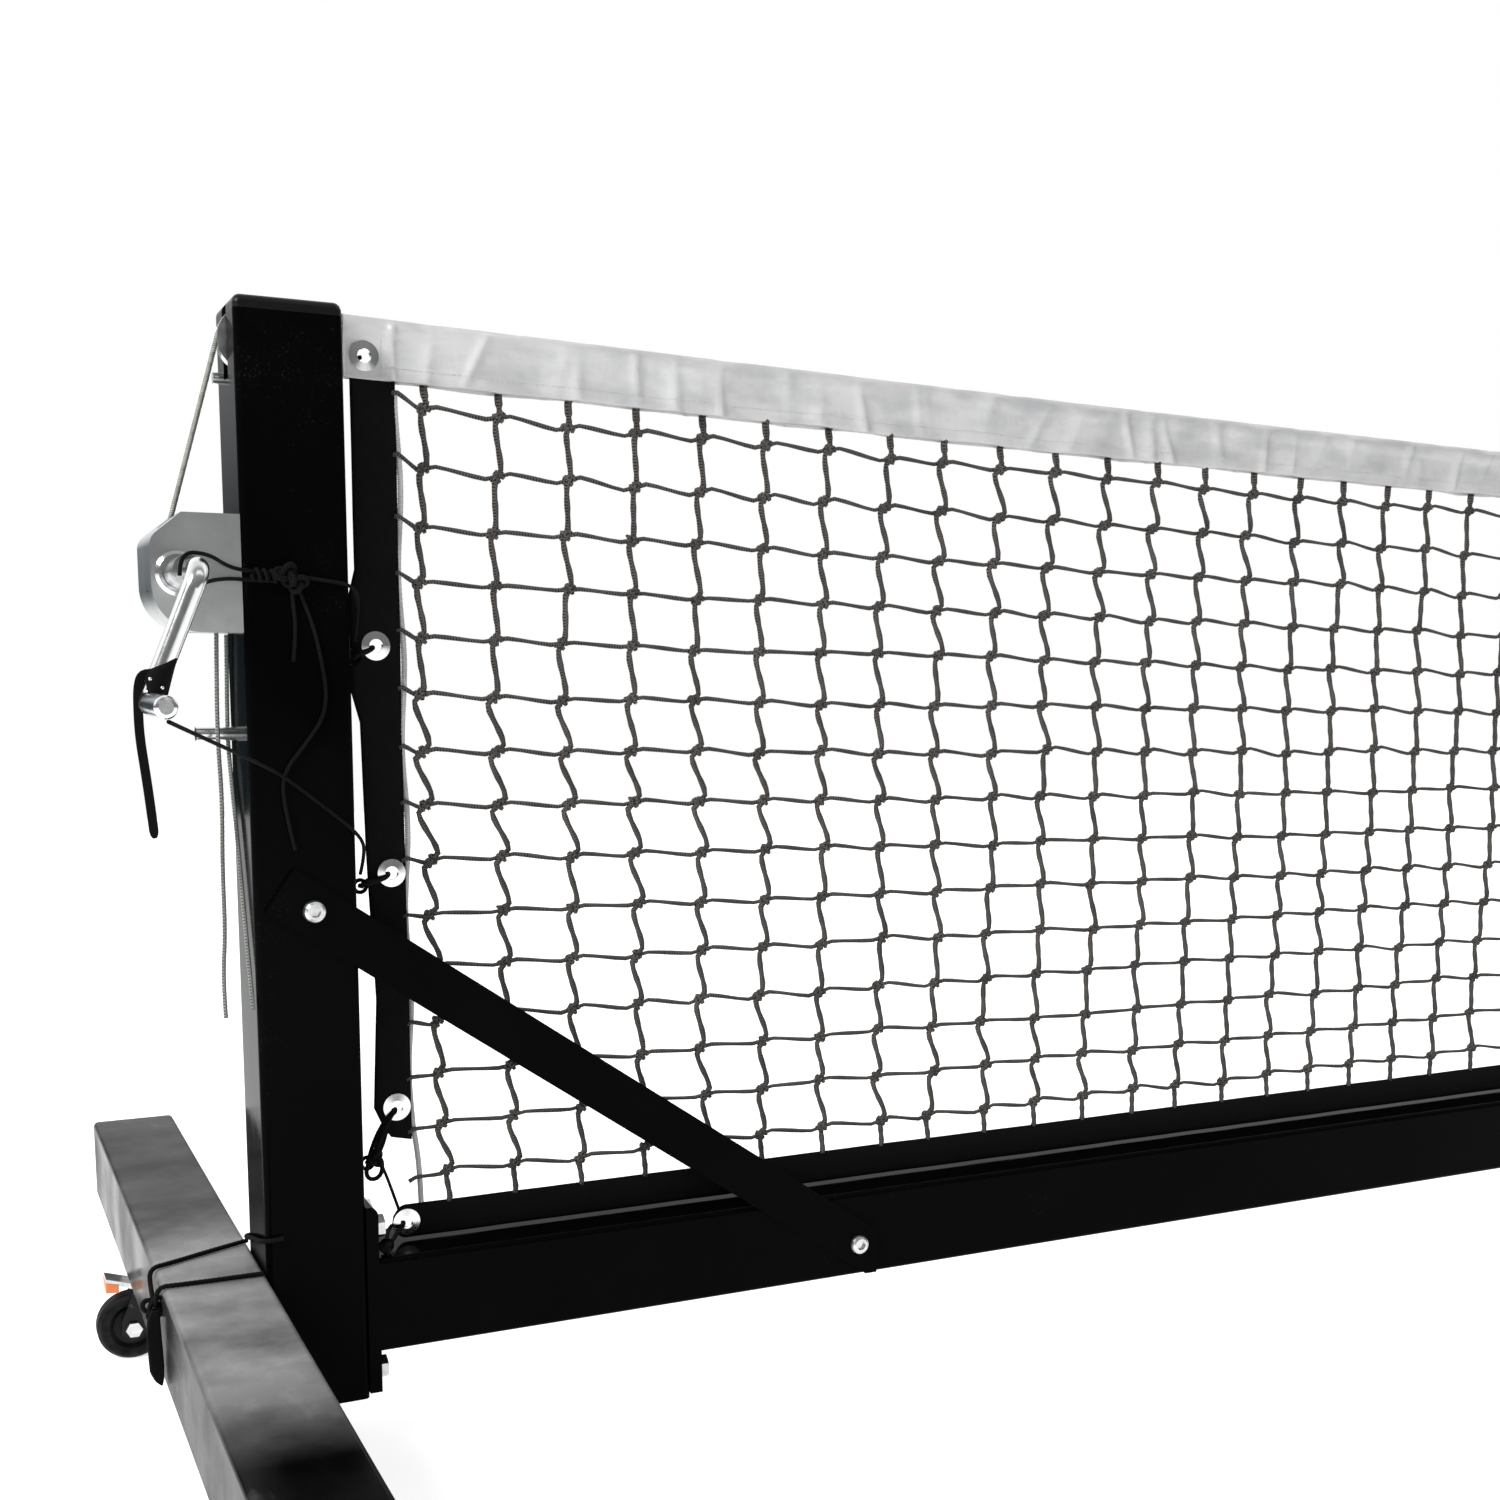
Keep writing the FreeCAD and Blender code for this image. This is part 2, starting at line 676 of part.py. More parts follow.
def cover_shell(inset):
    """The cover's D-shaped block, or its hollow when inset."""
    low, high = f"Dims.winch_low + {inset}", f"Dims.winch_high - {inset}"
    out = f"{POST_OUT} - Dims.winch_out + {inset}"
    points = [
        (f"{POST_OUT} - Dims.wall", low), (f"{POST_OUT} - Dims.wall", high),
        (f"{POST_OUT} - 42", high), (out, f"{high} - 19"), (out, low),
    ]
    body = padded("XZ_Plane", points, f"Dims.winch_deep - {inset} * 2", middle=True)
    outer_x = -(dim("half_gap") + dim("tube") + dim("winch_out") - inset)
    for radius, at_low in ((f"34 - {inset}", True), (f"12 - {inset}", False)):
        rounded(body, radius, lambda e: along(e, (0, 1, 0))
                and abs(e.CenterOfMass.x - outer_x) < 0.01
                and (e.CenterOfMass.z < dim("winch_low") + 5) == at_low)
    return body


def winch_cover():
    """A folded cover with holes for the two bushes and a mouth for the cable."""
    bush_hole = rod("Y", "11", "Dims.winch_deep + 2", SHAFT_X, "-Dims.winch_deep / 2 - 1", SHAFT_Z)
    mouth = box("34", "16", "20", f"{POST_OUT} - 55", "-8", "Dims.winch_high - 10")
    drain = box("30", "20", "20", f"{POST_OUT} - 36", "-10", "Dims.winch_low - 10")
    return cut(cover_shell(0), cover_shell(2), bush_hole, mouth, drain)


def bush(end):
    """A flanged bush in the cover's wall; end is -1 at the front and 1 at the back."""
    face = f"{end} * Dims.winch_deep / 2"
    hole = "Dims.shaft + 0.05"
    points = [
        (hole, f"{face} - {end} * 8"), ("11", f"{face} - {end} * 8"), ("11", face), ("16.5", face),
        ("16.5", f"{face} + {end} * 3"), ("14", f"{face} + {end} * 5"), (hole, f"{face} + {end} * 5"),
    ]
    return turned(points, SHAFT_X, "0", SHAFT_Z)


def winch_drum():
    """The shaft and cable drum in one piece, with ratchet teeth on its back flange."""
    core = "Dims.core"
    back = "Dims.winch_deep / 2 + 4"
    front = "-(Dims.winch_deep / 2 + 46)"
    points = [
        ("0", front), ("Dims.shaft", front), ("Dims.shaft", "-22"), ("14.5", "-22"), ("14.5", "-19"),
        (core, "-19"), (core, "12"), ("14.5", "12"), ("14.5", "15"), ("Dims.shaft", "15"),
        ("Dims.shaft", back), ("0", back),
    ]
    drum = turned(points, SHAFT_X, "0", SHAFT_Z)
    count = 12
    corners = []
    for i in range(count):
        step = 2 * math.pi / count
        for radius, turn in ((13.5, i * step), (10.5, (i + 0.05) * step)):
            corners.append((f"{radius * math.cos(turn):.4f}", f"{radius * math.sin(turn):.4f}"))
    ratchet = padded("XZ_Plane", corners, "5", SHAFT_X, "20", SHAFT_Z)
    return fuse(drum, ratchet)


def pawl():
    """The catch that drops between the ratchet's teeth, on a pin through the cover's back wall."""
    points = [
        ("-4", "-3"), ("-22.5", "-3.5"), ("-23", "0.5"), ("-4", "4"), ("4", "4"), ("4", "-3"),
    ]
    lever = padded("XZ_Plane", points, "4.4", PAWL_X, "20", PAWL_Z)
    pin = rod("Y", "2.5", "Dims.winch_deep / 2 + 3 - 15.6", PAWL_X, "15.6", PAWL_Z)
    return fuse(lever, pin)


PAWL_X = "-Dims.shaft_x + 31"
PAWL_Z = "Dims.shaft_z + 21"

node(winch_base(), "winch_base")
node(group(*[winch_screw(y, z) for y, z in WINCH_SCREWS]), "winch_screws")
pawl_hole = rod("Y", "2.56", "10", PAWL_X, "Dims.winch_deep / 2 - 5", PAWL_Z)
node(cut(winch_cover(), pawl_hole), "winch_cover")
node(group(bush(-1), bush(1)), "winch_bushes")
node(winch_drum(), "winch_drum")
node(pawl(), "winch_pawl")


# ---------------------------------------------------------------- tubes that follow a route
def bent_line(route, widest=None):
    """A wire of straight runs joined by tangent arcs, and the arcs' radii."""
    points = [FreeCAD.Vector(*p) for p in route]
    edges, radii = [], []
    last = points[0]
    for before, corner, after in zip(points, points[1:], points[2:]):
        run_in, run_out = corner - before, after - corner
        half_turn = run_in.getAngle(run_out) / 2
        radius = 0.45 * min(run_in.Length, run_out.Length) / math.tan(half_turn)
        radius = min(radius, widest or radius)
        reach = radius * math.tan(half_turn)
        run_in.normalize()
        run_out.normalize()
        start, end = corner - run_in * reach, corner + run_out * reach
        inward = (run_out - run_in).normalize()
        middle = corner + inward * (radius / math.cos(half_turn) - radius)
        edges.append(Part.LineSegment(last, start).toShape())
        edges.append(Part.Arc(start, middle, end).toShape())
        radii.append(radius)
        last = end
    edges.append(Part.LineSegment(last, points[-1]).toShape())
    return Part.Wire(edges), radii


def tube_along(wire, radius):
    """A round solid along a wire, checked against its section times its length."""
    edge = wire.OrderedEdges[0]
    at_start = edge.Orientation == "Forward"
    parameter = edge.FirstParameter if at_start else edge.LastParameter
    section = Part.Wire(Part.Circle(edge.valueAt(parameter), edge.tangentAt(parameter), radius).toShape())
    solid = wire.makePipeShell([section], True, False)
    expected = math.pi * radius ** 2 * wire.Length
    if solid.ShapeType != "Solid" or abs(solid.Volume / expected - 1) > 0.02:
        raise ValueError(f"tube is a {solid.ShapeType} of {solid.Volume:.1f}, expected {expected:.1f}")
    return solid


def cord(name, route, radius):
    """A cord's tube along its route; prints its bends and its length."""
    wire, radii = bent_line(route)
    bends = " ".join(f"{r:.0f}" for r in radii)
    print(f"{name}: length {wire.Length:.0f}, bend radii {bends}")
    return tube_along(wire, radius)


def solid_node(shape, label):
    """A sub-part whose shape is made by Part's own functions."""
    f = doc.addObject("Part::Feature", label)
    f.Shape = shape
    return node(f, label)


def both_ends(solids):
    """Solids of the left side with their mirror images on the right."""
    right = [s.mirror(FreeCAD.Vector(), FreeCAD.Vector(1, 0, 0)) for s in solids]
    return Part.makeCompound(solids + right)


# Plain numbers for the pieces that are made by Part's own functions.
POST_FACE = -(dim("half_gap") + dim("tube"))       # outer face of the left post
FOOT_FACE = POST_FACE - dim("tube")
SHAFT_AT = (-dim("shaft_x"), dim("shaft_z"))
TO_FRONT = FreeCAD.Vector(0, -1, 0)


# ---------------------------------------------------------------- crank
CRANK_END = -(dim("winch_deep") / 2 + 46)          # where the shaft stops inside the socket


def crank_handle():
    """A socket on the shaft, and one bent rod that ends in the spindle for the grip."""
    x, z = SHAFT_AT
    grip_x, grip_z, arm_y = -dim("grip_x"), dim("grip_z"), -dim("crank_y")
    spindle_y = arm_y - 18
    route = [(x, CRANK_END, z), (x, arm_y, z), (grip_x, arm_y, grip_z), (grip_x, spindle_y, grip_z)]
    wire, _ = bent_line(route, widest=15)
    face = FreeCAD.Vector(x, -(dim("winch_deep") / 2 + 8), z)
    socket = Part.makeCylinder(11, 48, face, TO_FRONT)
    bore = Part.makeCylinder(dim("shaft"), face.y - CRANK_END, face, TO_FRONT)
    spindle_start = FreeCAD.Vector(grip_x, spindle_y, grip_z)
    spindle = Part.makeCylinder(4, dim("grip_long") - 6, spindle_start, TO_FRONT)
    return socket.cut(bore).fuse([tube_along(wire, dim("rod")), spindle]).removeSplitter()


def grip():
    """The free-turning grip, closed and rounded at its outer end."""
    end = "-Dims.grip_long"
    points = [
        ("4.06", "0"), ("Dims.grip", "0"), ("Dims.grip", f"{end} + 3"), ("Dims.grip - 1", f"{end} + 1"),
        ("Dims.grip - 3", end), ("0", end), ("0", f"{end} + 5"), ("4.06", f"{end} + 5"),
    ]
    return turned(points, "-Dims.grip_x", "-Dims.crank_y - 18.5", "Dims.grip_z")


def crank_strap():
    """A webbing wrap on the crank's arm with a narrow tail that hangs from its outer side."""
    start = FreeCAD.Vector(SHAFT_AT[0], -dim("crank_y"), SHAFT_AT[1])
    end = FreeCAD.Vector(-dim("grip_x"), -dim("crank_y"), dim("grip_z"))
    arm = (end - start).normalize()
    low = end - arm * 16
    sleeve = Part.makeCylinder(dim("rod") + 2, 22, low, arm * -1)
    tail_route = [
        (-3519, 640), (-3524, 627), (-3525.5, 609), (-3524, 592), (-3521, 568), (-3518.5, 545), (-3517, 527),
    ]
    thick, wide = 2.0, 5.0
    outer = [FreeCAD.Vector(x, start.y - wide / 2, z) for x, z in tail_route]
    inner = [v + FreeCAD.Vector(thick, 0, 0) for v in reversed(outer)]
    ring = Part.makePolygon(outer + inner + outer[:1])
    tail = Part.Face(ring).extrude(FreeCAD.Vector(0, wide, 0))
    return sleeve.fuse(tail).cut(crank_handle())


solid_node(crank_handle(), "crank_handle")
node(grip(), "crank_grip")
solid_node(crank_strap(), "crank_strap")


# ---------------------------------------------------------------- cable
def polar(centre_x, centre_z, radius, angle):
    return FreeCAD.Vector(centre_x + radius * math.cos(angle), 0, centre_z + radius * math.sin(angle))


PULLEY_AT = (-dim("pulley_x"), dim("pulley_z"))
SADDLE_AT = (dim("pulley_x"), dim("pulley_z"))
LOOP = 7                        # radius of the loop at the cable's end


def net_cable():
    """One cable: round the drum, up over the pulley, along the net, over the saddle to its end loop."""
    pulley, winding = dim("pulley"), dim("core") + dim("cable") + 0.1
    (pulley_x, pulley_z), (drum_x, drum_z) = PULLEY_AT, SHAFT_AT
    span = math.hypot(pulley_x - drum_x, pulley_z - drum_z)
    lean = math.atan2(pulley_z - drum_z, pulley_x - drum_x)
    leave = lean + math.acos((winding - pulley) / span)
    arc_lean = math.atan2(ARC_Z - pulley_z, -pulley_x)          # towards the centre of the net's arc
    off_drum = polar(*SHAFT_AT, winding, leave)
    on_pulley = polar(*PULLEY_AT, pulley, leave)
    off_pulley = polar(*PULLEY_AT, pulley, arc_lean)
    on_saddle = polar(*SADDLE_AT, pulley, math.pi - arc_lean)
    middle = FreeCAD.Vector(0, 0, dim("mid_net") - dim("cable_depth"))
    off_saddle = polar(*SADDLE_AT, pulley, 0)
    end = FreeCAD.Vector(off_saddle.x, 0, dim("stud_z") + 1 + LOOP)
    curves = [
        Part.Arc(polar(*SHAFT_AT, winding, leave + 3.4), polar(*SHAFT_AT, winding, leave + 1.7), off_drum),
        Part.LineSegment(off_drum, on_pulley),
        Part.Arc(on_pulley, polar(*PULLEY_AT, pulley, (leave + arc_lean) / 2), off_pulley),
        Part.Arc(off_pulley, middle, on_saddle),
        Part.Arc(on_saddle, polar(*SADDLE_AT, pulley, (math.pi - arc_lean) / 2), off_saddle),
        Part.LineSegment(off_saddle, end),
    ]
    rope = tube_along(Part.Wire([c.toShape() for c in curves]), dim("cable"))
    loop_centre = FreeCAD.Vector(end.x, 0, dim("stud_z") + 1)
    loop = Part.makeTorus(LOOP, dim("cable"), loop_centre, FreeCAD.Vector(1, 0, 0))
    return rope.fuse(loop)


def cable_anchor():
    """The fixed saddle in the right post, the stud for the cable's end loop and the crimped ferrule."""
    face = f"-({POST_OUT})"
    saddle = fuse(
        rod("Y", "Dims.pulley - Dims.cable - 0.1", "16", "Dims.pulley_x", "-8", "Dims.pulley_z"),
        rod("Y", "4", "Dims.tube - Dims.wall * 2", "Dims.pulley_x", "-(Dims.tube / 2 - Dims.wall)",
            "Dims.pulley_z"),
    )
    stud = fuse(rod("X", "4", "13", face, "0", "Dims.stud_z"),
                rod("X", "9", "2", f"{face} + 9", "0", "Dims.stud_z"))
    ferrule = [
        rod("Z", radius, "16", "Dims.pulley_x + Dims.pulley", "0", f"Dims.stud_z + {LOOP} + 4")
        for radius in ("4", "Dims.cable")
    ]
    return group(saddle, stud, cut(*ferrule))


solid_node(net_cable(), "net_cable")
node(cable_anchor(), "cable_anchor")


# ---------------------------------------------------------------- headband, bands and net
def arc_strip(depth_top, depth_bottom, thick, half_long):
    """A strip that hangs in the net's arc, between two depths below the top of the net."""
    sides = []
    for depth in (depth_top, depth_bottom):
        reach = ARC_R + depth
        end_z = ARC_Z - math.sqrt(reach ** 2 - half_long ** 2)
        sides.append([FreeCAD.Vector(-half_long, 0, end_z), FreeCAD.Vector(0, 0, ARC_Z - reach),
                      FreeCAD.Vector(half_long, 0, end_z)])
    (top_left, top_mid, top_right), (low_left, low_mid, low_right) = sides
    rim = [
        Part.Arc(top_left, top_mid, top_right).toShape(),
        Part.LineSegment(top_right, low_right).toShape(),
        Part.Arc(low_right, low_mid, low_left).toShape(),
        Part.LineSegment(low_left, top_left).toShape(),
    ]
    strip = Part.Face(Part.Wire(rim)).extrude(FreeCAD.Vector(0, thick, 0))
    strip.translate(FreeCAD.Vector(0, -thick / 2, 0))
    return strip


EYELET = 7                      # radius of the hole that a grommet fills
HEAD_GROMMET = (3328.4, 883)
STRAP_GROMMETS = [(3324.5, 660.7), (3316, 478), (3316, 281.5)]
BAND_GROMMET = (3310, 181)


def grommet_hole(x, z):
    return Part.makeCylinder(EYELET, 20, FreeCAD.Vector(x, 10, z), TO_FRONT)


def headband():
    """The folded band over the cable: a bulged sleeve at the top and two plies below it."""
    sleeve = arc_strip(0, 14, 8, dim("net_end"))
    plies = arc_strip(14, dim("band"), dim("cloth"), dim("net_end"))
    x, z = HEAD_GROMMET
    return sleeve.fuse(plies).cut([grommet_hole(x, z), grommet_hole(-x, z)])


def side_straps():
    """The webbing down each end of the net, with its grommet holes."""
    low = dim("side_band_low")
    height = dim("post_net") - dim("band") - 2 - low
    start = FreeCAD.Vector(-dim("strap_end"), -dim("cloth") / 2, low)
    strap = Part.makeBox(dim("side_band"), dim("cloth"), height, start)
    return both_ends([strap.cut([grommet_hole(-x, z) for x, z in STRAP_GROMMETS])])


def bottom_band():
    """The webbing along the bottom of the net."""
    half = dim("low_band_end")
    start = FreeCAD.Vector(-half, -dim("cloth") / 2, dim("low_band_low"))
    band = Part.makeBox(half * 2, dim("cloth"), dim("low_band"), start)
    x, z = BAND_GROMMET
    return band.cut([grommet_hole(x, z), grommet_hole(-x, z)])


def net_panel():
    """The space that the knotted mesh fills, between the headband, the straps and the bottom band."""
    half = dim("strap_end") - dim("side_band")
    low = dim("low_band_low") + dim("low_band")
    hanging = arc_strip(dim("band"), dim("post_net"), dim("cloth"), half)
    window = Part.makeBox(half * 2, 20, dim("post_net"), FreeCAD.Vector(-half, -10, low))
    return hanging.common(window)


def grommet(x, z):
    """A two-sided eyelet pressed into a band."""
    flange, ply = "Dims.cloth / 2 + 1.2", "Dims.cloth / 2"
    points = [
        ("5.5", f"-({flange})"), ("11.5", f"-({ply} + 0.4)"), ("11.5", f"-({ply})"), (EYELET, f"-({ply})"),
        (EYELET, ply), ("11.5", ply), ("11.5", f"{ply} + 0.4"), ("5.5", flange),
    ]
    return turned([(str(u), v) for u, v in points], f"-{x}", "0", f"{z}")


solid_node(headband(), "headband")
solid_node(side_straps(), "side_straps")
solid_node(bottom_band(), "bottom_band")
solid_node(net_panel(), "net_panel")
left_grommets = [grommet(x, z) for x, z in (HEAD_GROMMET, *STRAP_GROMMETS, BAND_GROMMET)]
node(group(*left_grommets, *[mirrored(g, "X") for g in left_grommets]), "grommets")


# ---------------------------------------------------------------- hooks, pegs and lacing
def eye_hook(axis, x, y, z):
    """A screw eye on a face at (x, y, z): a threaded stem along the axis, a washer and a ring."""
    ring = doc.addObject("Part::Torus", "ring")
    ring.Radius1 = 5
    ring.Radius2 = 1.6
    ring.Placement.Rotation = TURN["Y"]
    if axis == "X":
        place(ring, f"{x} + 8", y, z)
        return fuse(ring, rod("X", "1.3", "8", f"{x} - 5", y, z), rod("X", "4.5", "1.2", x, y, z))
    place(ring, x, y, f"{z} + 8")
    return fuse(ring, rod("Z", "1.3", "8", x, y, f"{z} - 5"), rod("Z", "4.5", "1.2", x, y, z))


BEAM_TOP = "Dims.foot_low + Dims.tube"
left_eyes = [eye_hook("X", POST_IN, y, z) for y, z in EYES]
left_eyes.append(eye_hook("Z", *BEAM_EYE, BEAM_TOP))
node(group(*left_eyes, *[mirrored(e, "X") for e in left_eyes]), "eye_hooks")
rope_peg = rod("X", "5.5", "29", f"{POST_OUT} - 29", "25", "591")
top_peg = rod("X", "4.5", "6", f"{POST_OUT} - 6", "25", "861.6")
node(group(rope_peg, top_peg), "guide_pegs")


def lacing():
    """Short ties from the net's grommets to the rings of the eye hooks."""
    rings = [FreeCAD.Vector(evaluate(POST_IN) + 8, float(y), float(z)) for y, z in EYES]
    rings.append(FreeCAD.Vector(evaluate(BEAM_EYE[0]), evaluate(BEAM_EYE[1]), evaluate(BEAM_TOP) + 8))
    ties = []
    for ring, (x, z) in zip(rings, (HEAD_GROMMET, *STRAP_GROMMETS, BAND_GROMMET)):
        run = FreeCAD.Vector(-x, 0, z) - ring
        ties.append(Part.makeCylinder(1.5, run.Length, ring, run))
    return both_ends(ties)


solid_node(lacing(), "lacing")


# ---------------------------------------------------------------- free cords
# Each route is a list of points (x, y, z). The rope tails hang from the winch, the ties hold the
# crank to the post, and the lashing holds a webbing loop to the post and the foot.
ROPE, TIE, LASH = 1.75, 1.5, 2.0                    # radii
TAIL_HANGING = [
    (-3447, 0, 674), (-3448, 1, 640), (-3449, 2, 590), (-3447.5, 0, 540), (-3449.5, -1, 488),
    (-3449, 0, 436), (-3452, 1, 400), (-3451, 0, 368),
]
TAIL_ON_POST = [
    (-3436, 24, 668), (-3436, 27, 645), (-3436, 33, 612), (-3436, 35, 584), (-3436, 26, 556),
    (-3436, 10, 518), (-3436, -6, 472), (-3436, -21, 426), (-3436, -38, 380),
]
HUB_TIE = [
    (-3489.5, -124, 706), (-3489.5, -125, 722), (-3470, -122, 722), (-3446, -58, 716.2), (-3430, -44, 714.4),
    (-3404, -43, 711.6),
]
HUB_TIE_LOW = [
    (-3476, -124, 700.6), (-3467.5, -112, 704), (-3445, -58, 708), (-3430, -44, 707.8), (-3408, -43, 707.6),
]
HUB_TIE_TAIL = [
    (-3396, -43, 709), (-3386, -42.6, 688), (-3377.5, -42.6, 656), (-3372, -42.6, 612), (-3391, -42.6, 585),
    (-3409, -42.6, 563), (-3408, -42.6, 536), (-3401, -42.6, 504),
]
HUB_TIE_ACROSS = [
    (-3392, -43, 711.4), (-3370, -43, 709), (-3350, -45, 705.5), (-3344, -30, 690), (-3344.5, -14, 664),
]
CRANK_TIE = [
    (-3514.5, -228, 609.6), (-3503, -206, 604.5), (-3422, -56, 569), (-3404, -43, 558), (-3372, -43, 532),
    (-3350, -45, 513), (-3344, -30, 498), (-3344.5, -14, 480),
]
LASH_REAR = [
    (-3434, 44, 168), (-3462, 33, 167.5), (-3500, 14, 167.5), (-3517, 6, 168), (-3517.5, -3, 155),
    (-3517.5, -20, 147.5),
]
LASH_FRONT = [
    (-3436, -41, 167.5), (-3466, -41, 167.5), (-3500, -40, 167.5), (-3517, -40, 168), (-3517.5, -35.5, 150),
    (-3517.5, -28, 140),
]
LASH_POST = [
    (-3420, 43.5, 172), (-3431, 43.8, 173), (-3437, 36, 174.5), (-3437, 0, 184), (-3437, -36, 192.5),
    (-3431, -43.8, 194), (-3420, -43.5, 195),
]


def webbing_loop():
    """The flat loop of webbing that hangs from the lashing beside the outer face of the foot."""
    loop = Part.makeBox(12, 3, 56, FreeCAD.Vector(FOOT_FACE - 13, -42, 88))
    round_edges = [e for e in loop.Edges if along(e, UNIT["Y"])]
    return loop.makeFillet(5.5, round_edges)


def cords(routes, radius, name):
    return [cord(f"{name} {i}", route, radius) for i, route in enumerate(routes, start=1)]


solid_node(Part.makeCompound(cords([TAIL_HANGING, TAIL_ON_POST], ROPE, "rope tail")), "rope_tails")
ties = cords([HUB_TIE, HUB_TIE_LOW, HUB_TIE_TAIL, HUB_TIE_ACROSS, CRANK_TIE], TIE, "tie")
solid_node(Part.makeCompound(ties), "tie_cords")
lashing = cords([LASH_REAR, LASH_FRONT, LASH_POST], LASH, "lashing")
solid_node(Part.makeCompound(lashing + [webbing_loop()]), "foot_lashing")


# ---------------------------------------------------------------- check and write
def write_parts():
    doc.recompute()
    for obj in doc.Objects:
        for bad in ("Invalid", "Error"):
            if bad in obj.State:
                raise ValueError(f"{obj.Label} is {bad}")
    os.makedirs("parts", exist_ok=True)
    for sub_part in nodes:
        shape = sub_part.Shape
        if shape.isNull() or not shape.isValid() or not shape.Solids:
            raise ValueError(f"{sub_part.Label} has no valid solid")
        shape.exportStep(os.path.join("parts", f"{sub_part.Label}.step"))
        print(f"{sub_part.Label}: {len(shape.Solids)} solids, {shape.Volume / 1000:.2f} cm3")


write_parts()
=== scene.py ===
import json
import math

import bpy
import numpy as np
from mathutils import Matrix, Vector, noise


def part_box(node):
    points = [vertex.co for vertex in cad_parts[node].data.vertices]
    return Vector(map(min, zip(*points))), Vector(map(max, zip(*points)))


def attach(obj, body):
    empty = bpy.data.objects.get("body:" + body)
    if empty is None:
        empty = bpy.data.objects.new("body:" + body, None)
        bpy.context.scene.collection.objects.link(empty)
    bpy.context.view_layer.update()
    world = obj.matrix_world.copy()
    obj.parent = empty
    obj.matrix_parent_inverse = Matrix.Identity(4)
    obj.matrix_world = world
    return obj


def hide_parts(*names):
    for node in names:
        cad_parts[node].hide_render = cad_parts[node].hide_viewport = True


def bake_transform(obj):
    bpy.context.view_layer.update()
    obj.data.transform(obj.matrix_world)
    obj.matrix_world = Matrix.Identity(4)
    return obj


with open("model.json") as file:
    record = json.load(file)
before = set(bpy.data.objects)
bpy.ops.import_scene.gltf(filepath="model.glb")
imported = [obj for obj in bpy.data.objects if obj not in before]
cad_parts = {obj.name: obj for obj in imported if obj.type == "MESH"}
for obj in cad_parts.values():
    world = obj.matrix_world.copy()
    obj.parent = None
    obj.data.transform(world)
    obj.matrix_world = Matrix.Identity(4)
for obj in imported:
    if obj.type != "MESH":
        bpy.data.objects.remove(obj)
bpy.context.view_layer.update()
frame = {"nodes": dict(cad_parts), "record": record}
MM = 0.001
rng = np.random.default_rng(7)

# ---------------------------------------------------------------- camera
YAW, PITCH, ROLL = (math.radians(a) for a in (25.806, -8.978, 0.537))


def make_camera():
    """A camera at knee height beyond the winch post, looking along the net."""
    forward = Vector((math.sin(YAW) * math.cos(PITCH), math.cos(YAW) * math.cos(PITCH), math.sin(PITCH)))
    level = Vector((math.cos(YAW), -math.sin(YAW), 0))
    up = level.cross(forward)
    right = math.cos(ROLL) * level + math.sin(ROLL) * up
    upright = math.cos(ROLL) * up - math.sin(ROLL) * level
    data = bpy.data.cameras.new("camera")
    data.lens = 41.71
    data.sensor_width = 36
    data.shift_y = 0.1242
    data.clip_end = 100
    camera = bpy.data.objects.new("camera", data)
    turn = Matrix((right, upright, -forward)).transposed()
    camera.matrix_world = Matrix.Translation((-3.66558, -1.39762, 0.65101)) @ turn.to_4x4()
    bpy.context.scene.collection.objects.link(camera)
    bpy.context.scene.camera = camera


make_camera()


